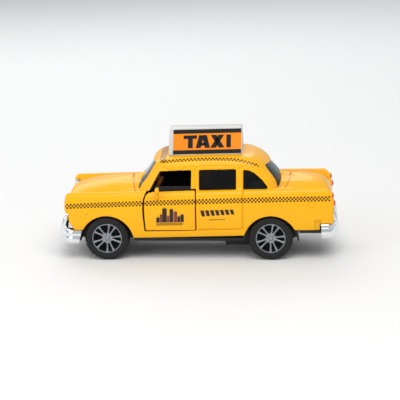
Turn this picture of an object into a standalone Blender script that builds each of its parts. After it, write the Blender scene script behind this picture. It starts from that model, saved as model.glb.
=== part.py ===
"""Diecast pull-back taxi, about 125 mm long, built as separate pieces.

Frame: +X to the front of the car, +Y to its left, +Z up, origin on the ground under
the middle of the bounding box.  Dimensions are in millimetres and are turned
into metres where a mesh is made.  The body sits slightly nose-down: a body height h
lies at z = h - RAKE * x, which is what body_z() works out.
"""
import math

import bmesh
import bpy
from mathutils import Matrix, Vector

MM = 0.001
FIT = 0.3                      # clearance between touching pieces
RAKE = 0.022                   # rise of the body per unit of length, towards the tail

# wheels and axles
WHEELBASE = 72.5
ORIGIN_SHIFT = 4.1             # from the middle of the wheelbase to mid-length
TYRE_RADIUS = 9.9
AXLE_RADIUS = 0.9

# body envelope, in the wheelbase-centred body frame
NOSE_X = 54.7
TAIL_X = -63.8
BELT_H = 31.2
RIDGE_H = 31.3
ROOF_START_H = 36.0            # above this an inner surface also drops away from the roof
MAX_HALF_WIDTH = 23.2
WALL = 1.5
END_RADIUS = 2.2
ARCH_RADIUS = 11.9
ARCH_CENTRE_Z = 8.3

# doors
DOOR_REAR_X = -3.1
DOOR_BOTTOM_H = 14.1
DOOR_GAP = 0.35
DOOR_TOP_Y = 19.9              # inner face of the door along the window sill
HINGE_X = 16.6
HINGE_Y = 19.6
PIN_RADIUS = 0.5
BARREL_RADIUS = 1.4
LUG_RADIUS = 1.3               # rounded ends of the lugs that hold the hinge pins
DOOR_SWEEP = 4.9               # room in the body for the front edge of an opening door
DOOR_TOP_SWEEP = 2.85          # the same, above the door's widest part
BARREL_LOW = 17.0              # ends of the door's hinge barrel
BARREL_HIGH = 23.8
MIRROR_X = 13.6
MIRROR_Y = 23.6
MIRROR_Z = 32.0
MIRROR_FOOT_Z = 28.6

# cabin
GLASS = 0.8
GLASS_FIT = 0.55
TUB_FRONT = 21.5
TUB_REAR = -40.5
WHEEL_HUB = (13.2, 10.0, 33.0)

# bumpers
BUMPER_STEPS = 16
BUMPER_HALF_WIDTH = 22.6
BUMPER_DEPTH = 1.6
BUMPER_SQUARENESS = 0.35

# greenhouse outlines: body height, front end, rear end, half width, corner radius
GREENHOUSE = (
    (28.0, 26.4, -44.2, 20.2, 7.0),
    (31.0, 24.4, -42.8, 19.9, 7.0),
    (36.0, 20.8, -39.6, 18.8, 7.0),
    (41.0, 17.3, -35.2, 17.6, 7.0),
    (43.0, 16.1, -33.0, 16.6, 7.0),
    (44.2, 14.4, -29.0, 15.0, 7.0),
    (44.9, 11.8, -23.5, 12.5, 6.6),
    (45.3, 5.5, -17.0, 8.0, 5.0),
)
# crown line of the bonnet and the boot: station, body height
CROWN = (
    (-63.8, 25.0), (-62.6, 27.0), (-61.0, 29.6), (-58.3, 31.8), (-53.8, 33.0), (-48.0, 33.7),
    (-41.6, 34.2), (22.4, 35.2), (25.2, 34.9), (32.0, 34.3), (38.8, 33.7), (45.7, 32.5),
    (50.3, 31.0), (52.6, 29.6), (54.0, 27.8), (54.7, 26.0),
)
STATIONS = (-63.8, -63.4, -62.6, -61.0, -58.3, -53.8, -48.0, -41.6, -30.0, -15.0, 0.0, 15.0,
            22.4, 32.0, 38.8, 45.7, 50.3, 52.6, 54.0, 54.7)
# body side: body height, how far inside the widest line
SIDE = ((10.7, 0.7), (13.0, 0.25), (20.0, 0.0), (26.0, 0.5), (29.0, 1.4), (30.4, 2.3), (31.3, 3.2))

NOSE_WALL = 1.7                # extra thickness of the nose, behind the grille
LAMP_POCKETS = ((52.6, 22.9, 28.4), (-62.4, 23.3, 30.4))   # face, bottom and top of each pocket

# fastenings between body, tub and chassis: screw station, underside and top of the pan there
SCREWS = {"front": (27.5, 8.0, 9.4), "rear": (-54.5, 11.6, 13.2)}
BOSS_RADIUS = 2.6
SHANK_RADIUS = 0.9
HEAD_RADIUS = 1.9
SCREW_TIP = 20.0

# chassis
WELL_RADIUS = 12.6
WELL_WALL_Y = 12.5
WELL_INNER_Y = 13.2
WELL_OUTER_Y = 19.7
PAN_HALF_WIDTH = 18.5
STAND_X = -6.0
STAND_RADIUS = 4.0
STAND_FACE_Z = 6.8

# roof sign: sizes are length and depth, or length and height on a sloping face
SIGN_X = -7.3
SIGN_BASE = (32.9, 21.2)
SIGN_TOP = (32.3, 8.0)
SIGN_HEIGHT = 10.8
SIGN_HOLLOW = (29.0, 19.4, 1.0)    # recess under the lamp box that clears the roof's crown
SIGN_FOOT_H = 45.2
SIGN_PEG_X = 11.0
SIGN_PEG_RADIUS = 1.0
SIGN_POCKET = (30.9, 10.2)
SIGN_PANEL = (30.3, 9.7)
SIGN_PANEL_OFFSET = -0.7

# pull-back motor
SPRING_TURNS = 4
SPRING_STEPS = 10
SPRING_INNER = 1.6
SPRING_PITCH = 0.85
SPRING_THICKNESS = 0.35
GEAR_MODULE = 0.45
WHEEL_TEETH = 24
AXLE_TEETH = 10
IDLER_TEETH = 9
CENTRE_SLACK = 0.15            # extra centre distance, so that the teeth run with backlash
PRESSURE_ANGLE = math.radians(25.0)
TOOTH_THINNING = 0.07
IDLER_SHAFT_RADIUS = 0.7
ARBOR_RADIUS = 0.9
CASE_X = (-40.6, -15.8)
CASE_Z = (3.1, 21.1)
CASE_HALF_WIDTH = 7.2


def body_z(x, height):
    """Height above the ground of a body height at station x."""
    return height - RAKE * x


def interpolate(table, x):
    """Straight-line reading of a table of (x, value) rows in rising x."""
    if x <= table[0][0]:
        return table[0][1]
    for (x0, v0), (x1, v1) in zip(table, table[1:]):
        if x <= x1:
            return v0 + (v1 - v0) * (x - x0) / (x1 - x0)
    return table[-1][1]


# ---------------------------------------------------------------- scene set-up
def clear_scene():
    for obj in list(bpy.data.objects):
        bpy.data.objects.remove(obj, do_unlink=True)


def new_collection(name):
    collection = bpy.data.collections.new(name)
    bpy.context.scene.collection.children.link(collection)
    return collection


clear_scene()
PARTS = new_collection("diecast_taxi")
CUTTERS = new_collection("cutters")

MATERIALS = {}


def material(name, colour, roughness, metallic=0.0, alpha=1.0):
    """A Principled material, made once for each name."""
    if name not in MATERIALS:
        mat = bpy.data.materials.new(name)
        mat.use_nodes = True
        shader = mat.node_tree.nodes["Principled BSDF"]
        shader.inputs["Base Color"].default_value = (*colour, 1.0)
        shader.inputs["Roughness"].default_value = roughness
        shader.inputs["Metallic"].default_value = metallic
        shader.inputs["Alpha"].default_value = alpha
        MATERIALS[name] = mat
    return MATERIALS[name]


def yellow_paint():
    return material("yellow_paint", (0.97, 0.55, 0.03), 0.3)


def chrome():
    return material("chrome", (0.9, 0.9, 0.9), 0.1, 1.0)


def black_plastic():
    return material("black_plastic", (0.02, 0.02, 0.02), 0.55)


def ochre_plastic():
    return material("ochre_plastic", (0.35, 0.13, 0.02), 0.5)


def alloy():
    return material("alloy", (0.5, 0.52, 0.54), 0.35, 0.8)


def tyre_rubber():
    return material("tyre_rubber", (0.03, 0.03, 0.03), 0.8)


def steel():
    return material("steel", (0.6, 0.6, 0.6), 0.3, 1.0)


def clear_plastic():
    return material("clear_plastic", (0.9, 0.95, 0.95), 0.05, 0.0, 0.3)


def red_plastic():
    return material("red_plastic", (0.8, 0.05, 0.03), 0.15)


def white_plastic():
    return material("white_plastic", (0.8, 0.8, 0.78), 0.4)


def orange_print():
    return material("orange_print", (0.98, 0.35, 0.02), 0.45)


def nylon():
    return material("nylon", (0.75, 0.73, 0.66), 0.5)


# ---------------------------------------------------------------- mesh helpers
def mesh_object(name, bm, mat, collection=None):
    """Turns a bmesh in millimetres into an object in metres."""
    bmesh.ops.recalc_face_normals(bm, faces=bm.faces)
    bmesh.ops.scale(bm, vec=(MM, MM, MM), verts=bm.verts)
    mesh = bpy.data.meshes.new(name)
    bm.to_mesh(mesh)
    bm.free()
    obj = bpy.data.objects.new(name, mesh)
    (collection or PARTS).objects.link(obj)
    if mat is not None:
        mesh.materials.append(mat)
    if collection is CUTTERS:
        obj.hide_render = True
        obj.display_type = 'WIRE'
    return obj


def loft_into(bm, rings):
    """Skins closed rings of equal length and caps both ends."""
    loops = [[bm.verts.new(point) for point in ring] for ring in rings]
    count = len(loops[0])
    for lower, upper in zip(loops, loops[1:]):
        for i in range(count):
            j = (i + 1) % count
            bm.faces.new((lower[i], lower[j], upper[j], upper[i]))
    bm.faces.new(list(reversed(loops[0])))
    bm.faces.new(loops[-1])
    return bm


def loft(name, rings, mat=None, collection=None):
    return mesh_object(name, loft_into(bmesh.new(), rings), mat, collection)


def box_into(bm, low, high):
    centre = [(a + b) / 2 for a, b in zip(low, high)]
    size = [b - a for a, b in zip(low, high)]
    matrix = Matrix.Translation(centre) @ Matrix.Diagonal((*size, 1.0))
    bmesh.ops.create_cube(bm, size=1.0, matrix=matrix)
    return bm


def box(name, low, high, mat=None, collection=None):
    return mesh_object(name, box_into(bmesh.new(), low, high), mat, collection)


def rod_into(bm, start, end, radius, segments=16, end_radius=None):
    """A cylinder or cone between two points."""
    start, end = Vector(start), Vector(end)
    axis = end - start
    turn = Vector((0, 0, 1)).rotation_difference(axis).to_matrix().to_4x4()
    matrix = Matrix.Translation((start + end) / 2) @ turn
    bmesh.ops.create_cone(bm, cap_ends=True, segments=segments, radius1=radius,
                          radius2=radius if end_radius is None else end_radius,
                          depth=axis.length, matrix=matrix)
    return bm


def rod(name, start, end, radius, mat=None, collection=None, segments=16, end_radius=None):
    bm = rod_into(bmesh.new(), start, end, radius, segments, end_radius)
    return mesh_object(name, bm, mat, collection)


def prism_into(bm, points, travel):
    """A flat outline extruded along a vector."""
    face = bm.faces.new([bm.verts.new(point) for point in points])
    moved = bmesh.ops.extrude_face_region(bm, geom=[face], use_keep_orig=True)["geom"]
    verts = [item for item in moved if isinstance(item, bmesh.types.BMVert)]
    bmesh.ops.translate(bm, verts=verts, vec=travel)
    return bm


def prism_y_into(bm, outline, y0, y1):
    """An (x, z) outline extruded across the car."""
    return prism_into(bm, [(x, y0, z) for x, z in outline], (0, y1 - y0, 0))


def prism_z_into(bm, outline, z0, z1):
    """An (x, y) outline extruded upwards."""
    return prism_into(bm, [(x, y, z0) for x, y in outline], (0, 0, z1 - z0))


def apply_modifiers(obj):
    """Bakes an object's modifiers into its mesh."""
    graph = bpy.context.evaluated_depsgraph_get()
    graph.update()
    mesh = bpy.data.meshes.new_from_object(obj.evaluated_get(graph))
    obj.modifiers.clear()
    obj.data = mesh


def boolean(obj, cutter, operation='DIFFERENCE'):
    """Applies one exact Boolean and removes the cutter."""
    modifier = obj.modifiers.new(operation.lower(), 'BOOLEAN')
    modifier.object = cutter
    modifier.operation = operation
    modifier.solver = 'EXACT'
    bpy.context.view_layer.update()
    apply_modifiers(obj)
    bpy.data.objects.remove(cutter, do_unlink=True)
    return obj


def cut(obj, *cutters):
    for cutter in cutters:
        boolean(obj, cutter)
    return obj


def add(obj, *others):
    for other in others:
        boolean(obj, other, 'UNION')
    return obj


def cut_box(obj, low, high):
    return boolean(obj, box("cut", low, high, None, CUTTERS))


def cut_rod(obj, start, end, radius, segments=16):
    return boolean(obj, rod("cut", start, end, radius, None, CUTTERS, segments))


def cut_prism_y(obj, outline, y0, y1):
    cutter = mesh_object("cut", prism_y_into(bmesh.new(), outline, y0, y1), None, CUTTERS)
    return boolean(obj, cutter)


def add_box(obj, low, high):
    return boolean(obj, box("add", low, high, None, CUTTERS), 'UNION')


def add_rod(obj, start, end, radius, segments=16):
    return boolean(obj, rod("add", start, end, radius, None, CUTTERS, segments), 'UNION')


def copy_of(obj, name):
    twin = obj.copy()
    twin.data = obj.data.copy()
    twin.name = name
    PARTS.objects.link(twin)
    return twin


def mirrored(obj, name):
    """The same piece on the other side of the car."""
    twin = copy_of(obj, name)
    for vertex in twin.data.vertices:
        vertex.co.y = -vertex.co.y
    twin.data.flip_normals()
    return twin


def smooth(obj, angle=35):
    obj.data.shade_smooth()
    obj.data.set_sharp_from_angle(angle=math.radians(angle))
    return obj


def tidy_mesh(obj, distance=0.02):
    """Joins the near-coincident corners that Booleans leave."""
    bm = bmesh.new()
    bm.from_mesh(obj.data)
    bmesh.ops.remove_doubles(bm, verts=bm.verts, dist=distance * MM)
    bmesh.ops.dissolve_degenerate(bm, edges=bm.edges, dist=0.001 * MM)
    bm.to_mesh(obj.data)
    bm.free()
    return obj


def turned(name, profile, mat, centre, segments=32, closed=True):
    """A (radius, y) profile turned about the Y axis through centre (x, z)."""
    mesh = bpy.data.meshes.new(name)
    points = [(radius * MM, y * MM, 0.0) for radius, y in profile]
    count = len(points)
    edges = [(i, (i + 1) % count) for i in range(count if closed else count - 1)]
    mesh.from_pydata(points, edges, [])
    obj = bpy.data.objects.new(name, mesh)
    PARTS.objects.link(obj)
    screw = obj.modifiers.new("turn", 'SCREW')
    screw.axis = 'Y'
    screw.steps = segments
    screw.render_steps = segments
    screw.use_merge_vertices = True
    screw.merge_threshold = 0.00001
    bpy.context.view_layer.update()
    apply_modifiers(obj)
    bm = bmesh.new()
    bm.from_mesh(obj.data)
    bmesh.ops.translate(bm, verts=bm.verts, vec=(centre[0] * MM, 0.0, centre[1] * MM))
    bmesh.ops.recalc_face_normals(bm, faces=bm.faces)
    bm.to_mesh(obj.data)
    bm.free()
    obj.data.materials.append(mat)
    return obj


# ---------------------------------------------------------------- body surfaces
def end_pull(x, inset):
    """How far the body rounds in at a station near either end."""
    nearest = min(NOSE_X - inset - x, x - TAIL_X - inset)
    if nearest >= END_RADIUS:
        return 0.0
    reach = END_RADIUS - max(nearest, 0.0)
    return END_RADIUS - math.sqrt(max(END_RADIUS ** 2 - reach ** 2, 0.0))


def half_width(x):
    return MAX_HALF_WIDTH - 1.6 * (x / 55.0) ** 2


def body_ring(x, inset=0.0, floor=None):
    """Cross-section of the lower body at station x, shrunk by inset."""
    pull = end_pull(x, inset)
    width = half_width(x) - inset - pull
    drop = inset + pull
    crown = min(interpolate(CROWN, x), 35.0) - inset
    ridge = min(RIDGE_H - drop, crown + 3.5)
    valley = min(ridge - 0.4, crown - 1.2)
    half = []
    for height, tuck in SIDE[:-1]:
        h = max(height - (drop if height > 26 else 0.0), 0.0)
        if floor is not None and height == SIDE[0][0]:
            h = floor
        half.append((width - tuck, h))
    half.append((width - SIDE[-1][1], ridge))
    half.append((width - 4.6, ridge - 0.1))
    half.append((width - 6.6, valley))
    half.append((min(13.6, width - 7.6), valley + 0.35 * (crown - valley)))
    half.append((10.0, valley + 0.72 * (crown - valley)))
    half.append((5.0, valley + 0.93 * (crown - valley)))
    ring = [(x, y, body_z(x, h)) for y, h in half]
    ring.append((x, 0.0, body_z(x, crown)))
    ring += [(x, -y, body_z(x, h)) for y, h in reversed(half)]
    return ring


def lower_body_rings(inset=0.0, floor=None, nose=0.0):
    first, last = TAIL_X + inset, NOSE_X - inset - nose
    stations = [first] + [x for x in STATIONS if first + 0.2 < x < last - 0.2] + [last]
    return [body_ring(x, inset, floor) for x in stations]


def rounded_rectangle(x0, x1, half, radius, steps=3):
    """Plan outline with round corners, anticlockwise from the right rear."""
    radius = min(radius, half - 0.1, (x1 - x0) / 2 - 0.1)
    corners = ((x1 - radius, half - radius, 0), (x0 + radius, half - radius, 90),
               (x0 + radius, radius - half, 180), (x1 - radius, radius - half, 270))
    points = []
    for cx, cy, start in corners:
        for i in range(steps + 1):
            angle = math.radians(start + 90.0 * i / steps)
            points.append((cx + radius * math.cos(angle), cy + radius * math.sin(angle)))
    return points


def greenhouse_rings(inset=0.0, lowest=None, highest=None):
    """Outlines of the cabin at each height, shrunk by inset."""
    rings = []
    for height, front, rear, half, radius in GREENHOUSE:
        h = height - inset * max(height - ROOF_START_H, 0.0) / (GREENHOUSE[-1][0] - ROOF_START_H)
        if height == GREENHOUSE[0][0] and lowest is not None:
            h = lowest
        if highest is not None and h > highest:
            break
        plan = rounded_rectangle(rear + inset, front - inset, half - inset, radius)
        rings.append([(x, y, body_z(x, h)) for x, y in plan])
    return rings


def cabin_solid(name, inset, lowest=None, highest=None):
    return loft(name, greenhouse_rings(inset, lowest, highest), None, CUTTERS)


def raked(points):
    return [(x, body_z(x, h)) for x, h in points]


DOOR_OUTLINE = ((17.2, BELT_H), (18.6, 30.0), (19.3, 28.0), (19.6, 25.5), (19.6, 22.6),
                (19.3, 19.5), (18.6, DOOR_BOTTOM_H), (DOOR_REAR_X, DOOR_BOTTOM_H),
                (DOOR_REAR_X, BELT_H))
APERTURE = ((12.4, 39.8), (17.2, 31.6), (18.9, 30.6), (19.9, 28.3), (20.3, 25.5), (20.3, 22.6),
            (20.0, 19.3), (19.3, DOOR_BOTTOM_H - DOOR_GAP),
            (DOOR_REAR_X - DOOR_GAP, DOOR_BOTTOM_H - DOOR_GAP),
            (DOOR_REAR_X - DOOR_GAP, BELT_H), (-1.2, BELT_H), (-1.2, 39.8))
# windscreen and rear screen: stations, then half of the opening seen from the end
SCREENS = ((11.0, 24.0, ((-13.4, 42.2), (-16.2, 32.4), (-8.0, 34.9), (0.0, 35.6))),
           (-45.0, -29.0, ((-12.8, 40.8), (-15.4, 31.9), (-8.0, 34.0), (0.0, 34.7))))
REAR_WINDOW = ((-4.7, 31.5), (-4.7, 39.6), (-21.1, 39.6), (-21.1, 31.5))
QUARTER_WINDOW = ((-24.4, 31.4), (-24.4, 39.2), (-26.4, 39.0), (-28.6, 38.2), (-30.8, 36.5),
                  (-32.8, 34.0), (-34.7, 31.4))


def body_casting():
    """Outer shell with cabin, pockets and every opening."""
    shell = loft("body_shell", lower_body_rings(), yellow_paint())
    add(shell, cabin_solid("cabin", 0.0))
    cut_box(shell, (53.0, -26.0, 0.0), (60.0, 26.0, body_z(53, 22.7)))
    cut(shell, loft("hollow", lower_body_rings(WALL, -2.0, NOSE_WALL), None, CUTTERS))
    cut(shell, cabin_solid("hollow_cabin", WALL, 20.0))
    return shell


def cut_openings(shell):
    """Windows, door apertures, wheel arches and the lamp and grille pockets."""
    for side in (-1, 1):
        near, far = sorted((side * 12.0, side * 27.0))
        cut_prism_y(shell, raked(APERTURE), near, far)
        cut_prism_y(shell, raked(REAR_WINDOW), near, far)
        cut_prism_y(shell, raked(QUARTER_WINDOW), near, far)
        for axle_x in (WHEELBASE / 2, -WHEELBASE / 2):
            cut_rod(shell, (axle_x, near, ARCH_CENTRE_Z), (axle_x, far, ARCH_CENTRE_Z),
                    ARCH_RADIUS, 32)
            cut_box(shell, (axle_x - 11.4, near, 0.0), (axle_x + 11.4, far, ARCH_CENTRE_Z + 2))
    cut_box(shell, (46.0, -27.0, 0.0), (60.0, 27.0, 13.8))
    cut_box(shell, (-70.0, -27.0, 0.0), (-46.4, 27.0, 13.7))
    cut_box(shell, (-70.0, -27.0, 0.0), (-57.8, 27.0, 17.2))
    for x0, x1, half in SCREENS:
        outline = [(x0, y, body_z(x0, h)) for y, h in half]
        outline += [(x0, -y, body_z(x0, h)) for y, h in reversed(half[:-1])]
        bm = prism_into(bmesh.new(), outline, (x1 - x0, 0.0, -RAKE * (x1 - x0)))
        boolean(shell, mesh_object("screen", bm, None, CUTTERS))
    cut_box(shell, (50.0, -11.5, 15.8), (60.0, 11.5, 23.4))


def body_shell():
    shell = body_casting()
    cut_openings(shell)
    for x, _, pan_top in SCREWS.values():
        boss_top = body_z(x, interpolate(CROWN, x) - WALL / 2)
        add_rod(shell, (x, 0, pan_top + FIT), (x, 0, boss_top), BOSS_RADIUS)
        cut_rod(shell, (x, 0, 0.0), (x, 0, SCREW_TIP + 2.0), SHANK_RADIUS + FIT, 12)
    for side in (-1, 1):
        cut_rod(shell, (SIGN_X + side * SIGN_PEG_X, 0, 40.0),
                (SIGN_X + side * SIGN_PEG_X, 0, 50.0), SIGN_PEG_RADIUS + FIT, 12)
        for x, low, high in LAMP_POCKETS:
            y0, y1 = sorted((side * 15.6, side * 20.6))
            outer = x + math.copysign(8.0, x)
            cut_box(shell, (min(x, outer), y0, low), (max(x, outer), y1, high))
        for radius, low, high in ((DOOR_SWEEP, 13.75, 29.6), (DOOR_TOP_SWEEP, 29.5, 31.2)):
            cut_rod(shell, (HINGE_X, side * HINGE_Y, low), (HINGE_X, side * HINGE_Y, high), radius, 32)
    return smooth(tidy_mesh(shell), 30)


# ---------------------------------------------------------------- doors
def door_slab(outline, y0, y1):
    return mesh_object("door_slab", prism_y_into(bmesh.new(), raked(outline), y0, y1),
                       None, CUTTERS)


def left_door():
    """Outer skin cut from the body surface, with the hinge barrel behind its front edge."""
    door = loft("left_door", lower_body_rings(), yellow_paint())
    boolean(door, door_slab(DOOR_OUTLINE, 12.0, 27.0), 'INTERSECT')
    cut(door, loft("hollow", lower_body_rings(WALL, -2.0, NOSE_WALL), None, CUTTERS))
    cut_box(door, (-10.0, 10.0, 27.0), (22.0, DOOR_TOP_Y, 35.0))
    add_rod(door, (HINGE_X, HINGE_Y, BARREL_LOW), (HINGE_X, HINGE_Y, BARREL_HIGH), BARREL_RADIUS, 12)
    add_box(door, (HINGE_X - 0.9, HINGE_Y, BARREL_LOW), (HINGE_X + 0.9, 22.0, BARREL_HIGH))
    cut_rod(door, (HINGE_X, HINGE_Y, 0.0), (HINGE_X, HINGE_Y, 50.0), PIN_RADIUS + FIT, 12)
    cut_rod(door, (MIRROR_X, 18.0, MIRROR_FOOT_Z), (MIRROR_X, 26.0, MIRROR_FOOT_Z), 0.9, 10)
    return smooth(tidy_mesh(door), 30)


def left_mirror():
    """Round mirror head on a short stalk that plugs into the door."""
    mirror = rod("left_mirror", (MIRROR_X + 0.7, MIRROR_Y, MIRROR_Z),
                 (MIRROR_X - 0.9, MIRROR_Y, MIRROR_Z), 1.5, yellow_paint(), None, 16)
    add_rod(mirror, (MIRROR_X, 21.2, MIRROR_FOOT_Z), (MIRROR_X, 24.4, MIRROR_FOOT_Z), 0.6, 10)
    add_rod(mirror, (MIRROR_X, 24.0, MIRROR_FOOT_Z - 0.4), (MIRROR_X, MIRROR_Y, MIRROR_Z), 0.55, 10)
    return smooth(mirror)


def left_hinge_pin():
    return rod("left_hinge_pin", (HINGE_X, HINGE_Y, BARREL_LOW - 2.0),
               (HINGE_X, HINGE_Y, BARREL_HIGH + 2.0), PIN_RADIUS, steel(), None, 10)


# ---------------------------------------------------------------- cabin
def glazing():
    """One clear moulding: both screens, the rear side windows and the roof between them."""
    glass = cabin_solid("glazing", WALL + GLASS_FIT, 29.0)
    glass.name = "glazing"
    CUTTERS.objects.unlink(glass)
    PARTS.objects.link(glass)
    glass.hide_render = False
    glass.display_type = 'TEXTURED'
    cut(glass, cabin_solid("glass_hollow", WALL + GLASS_FIT + GLASS, 10.0))
    cut_box(glass, (-60.0, -30.0, 20.0), (60.0, 30.0, 31.1))
    for side in (-1, 1):
        y0, y1 = sorted((side * 12.0, side * 30.0))
        cut_box(glass, (-1.6, y0, 20.0), (16.2, y1, 41.2))
    cut_rod(glass, (SIGN_X - SIGN_PEG_X, 0, 40.0), (SIGN_X - SIGN_PEG_X, 0, 50.0), 1.8, 12)
    cut_rod(glass, (SIGN_X + SIGN_PEG_X, 0, 40.0), (SIGN_X + SIGN_PEG_X, 0, 50.0), 1.8, 12)
    glass.data.materials.append(clear_plastic())
    return smooth(tidy_mesh(glass), 30)


def interior_tub():
    """Floor, side cards, rear bench over the motor and the four door-hinge lugs."""
    tub = box("interior_tub", (TUB_REAR, -17.0, 12.4), (TUB_FRONT, 17.0, 28.6), black_plastic())
    cut_box(tub, (-8.0, -15.8, 13.6), (TUB_FRONT - 1.2, 15.8, 40.0))
    cut_box(tub, (-27.0, -15.8, 23.6), (-7.9, 15.8, 40.0))
    cut_box(tub, (TUB_REAR + 1.2, -15.8, 27.6), (-26.9, 15.8, 40.0))
    cut_box(tub, (TUB_REAR - 1.0, -9.0, 10.0), (-9.2, 9.0, 22.2))
    for side in (-1, 1):
        y0, y1 = sorted((side * 11.9, side * 20.0))
        cut_box(tub, (TUB_REAR - 1.0, y0, 10.0), (-22.6, y1, 22.4))
        for low in (BARREL_LOW - 2.1, BARREL_HIGH + FIT):
            y0, y1 = sorted((side * 16.0, side * HINGE_Y))
            add_box(tub, (HINGE_X - LUG_RADIUS, y0, low), (HINGE_X + LUG_RADIUS, y1, low + 1.8))
            add_rod(tub, (HINGE_X, side * HINGE_Y, low), (HINGE_X, side * HINGE_Y, low + 1.8),
                    LUG_RADIUS, 16)
            cut_rod(tub, (HINGE_X, side * HINGE_Y, low - 1.0), (HINGE_X, side * HINGE_Y, low + 3.0),
                    PIN_RADIUS + FIT, 12)
    return tub


def front_seat():
    """Bench cushion with two tall backrests."""
    seat = box("front_seat", (-6.4, -14.6, 13.9), (6.5, 14.6, 19.5), ochre_plastic())
    for side in (-1, 1):
        y0, y1 = sorted((side * 1.6, side * 14.2))
        outline = ((-6.6, 14.0), (-3.6, 14.0), (-6.6, 40.3), (-11.0, 40.3), (-7.8, 24.2),
                   (-7.6, 18.0))
        back = mesh_object("back", prism_y_into(bmesh.new(), outline, y0, y1), None, CUTTERS)
        add(seat, back)
    return smooth(tidy_mesh(seat))


def dashboard():
    outline = ((16.5, 24.0), (18.4, 24.0), (18.4, 28.9), (20.2, 28.9), (20.2, 30.2), (16.5, 30.2))
    dash = mesh_object("dashboard", prism_y_into(bmesh.new(), outline, -13.0, 13.0), black_plastic())
    cut_rod(dash, (WHEEL_HUB[0], WHEEL_HUB[1], WHEEL_HUB[2]),
            (WHEEL_HUB[0] + 8.0, WHEEL_HUB[1], WHEEL_HUB[2] - 5.6), 0.9, 10)
    return dash


def steering_wheel():
    """Fat rim, three-spoke disc and column, tilted towards the driver."""
    hub = Vector(WHEEL_HUB)
    axis = Vector((6.0, 0.0, -4.2)).normalized()
    bm = bmesh.new()
    rod_into(bm, hub - axis * 0.5, hub + axis * 0.5, 2.9, 16)
    wheel = mesh_object("steering_wheel", bm, ochre_plastic())
    add_rod(wheel, hub, hub + axis * 4.6, 0.55, 10)
    return smooth(wheel)


# ---------------------------------------------------------------- trim
def front_grille():
    """Chrome egg-crate grille that plugs into the nose."""
    grille = box("front_grille", (51.2, -11.2, 16.1), (53.7, 11.2, 23.1), chrome())
    cells = 7
    pitch = 21.2 / cells
    for column in range(cells):
        y0 = -10.6 + column * pitch + 0.3
        for low, high in ((16.7, 19.3), (19.9, 22.5)):
            cut_box(grille, (53.0, y0, low), (55.0, y0 + pitch - 0.6, high))
    return grille


def lamp_pair(name, side, plate_x, out, centres, radius, dome, mat, stack):
    """Two round lenses on one backing plate, side by side or stacked."""
    low, high = stack
    y0, y1 = sorted((side * 15.9, side * 20.3))
    lamp = box(name, (min(plate_x, plate_x + out), y0, low), (max(plate_x, plate_x + out), y1, high),
               mat)
    for y, z in centres:
        add_rod(lamp, (plate_x + out * 0.5, side * y, z), (plate_x + out * dome, side * y, z), radius, 16)
    return smooth(lamp)


def bumper(name, end_x, tip_x, low, high, guard_top, bracket_x):
    """Blade that wraps round the corners, with two overriders and two brackets."""
    way = math.copysign(1.0, end_x)
    outer, inner = [], []
    for i in range(BUMPER_STEPS + 1):
        angle = math.pi * (i / BUMPER_STEPS - 0.5)
        bow = math.cos(angle) ** BUMPER_SQUARENESS
        y = BUMPER_HALF_WIDTH * math.sin(angle)
        outer.append((end_x + (tip_x - end_x) * bow, y))
        inner.append((end_x + (tip_x - end_x - way * BUMPER_DEPTH) * bow,
                      y * (1.0 - BUMPER_DEPTH / BUMPER_HALF_WIDTH)))
    plan = outer + list(reversed(inner))
    blade = mesh_object(name, prism_z_into(bmesh.new(), plan, low, high), chrome())
    for side in (-1, 1):
        x0, x1 = sorted((tip_x - way * 1.5, tip_x + way * 1.1))
        y0, y1 = side * 9.0 - 1.0, side * 9.0 + 1.0
        add_box(blade, (x0, y0, low - 0.3), (x1, y1, guard_top))
        x0, x1 = sorted((bracket_x, tip_x - way * 0.8))
        y0, y1 = side * 13.0 - 1.5, side * 13.0 + 1.5
        add_box(blade, (x0, y0, low + 0.4), (x1, y1, low + 2.4))
    return smooth(tidy_mesh(blade))


def sign_ring(size, z):
    plan = rounded_rectangle(-size[0] / 2, size[0] / 2, size[1] / 2, 1.0, 2)
    return [(SIGN_X + x, y, z - RAKE * x) for x, y in plan]


def sign_case():
    """Tapered lamp box with a shallow pocket in each face and two pegs."""
    foot = body_z(SIGN_X, SIGN_FOOT_H)
    case = loft("sign_case", [sign_ring(SIGN_BASE, foot), sign_ring(SIGN_TOP, foot + SIGN_HEIGHT)],
                white_plastic())
    length, depth, recess = SIGN_HOLLOW
    cut_box(case, (SIGN_X - length / 2, -depth / 2, foot - 1.0),
            (SIGN_X + length / 2, depth / 2, foot + recess))
    for side in (-1, 1):
        cut(case, sign_face("pocket", side, SIGN_POCKET, -0.7, 3.0, None, CUTTERS))
        add_rod(case, (SIGN_X + side * SIGN_PEG_X, 0, foot - 2.6),
                (SIGN_X + side * SIGN_PEG_X, 0, foot + 2.0), SIGN_PEG_RADIUS, 12)
    return tidy_mesh(case)


def sign_face(name, side, size, depth0, depth1, mat, collection=None):
    """A thin plate parallel to a sloping face of the sign."""
    foot = body_z(SIGN_X, SIGN_FOOT_H)
    lean = (SIGN_BASE[1] - SIGN_TOP[1]) / 2 / SIGN_HEIGHT
    x_mid = SIGN_X + SIGN_PANEL_OFFSET
    bm = bmesh.new()
    rings = []
    for depth in (depth0, depth1):
        ring = []
        for sx, sz in ((-1, -1), (1, -1), (1, 1), (-1, 1)):
            x = x_mid + sx * size[0] / 2
            up = SIGN_HEIGHT / 2 + sz * size[1] / 2
            y = side * (SIGN_BASE[1] / 2 - lean * up + depth)
            ring.append((x, y, foot + up - RAKE * (x - SIGN_X)))
        rings.append(ring)
    return mesh_object(name, loft_into(bm, rings), mat, collection)


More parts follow.
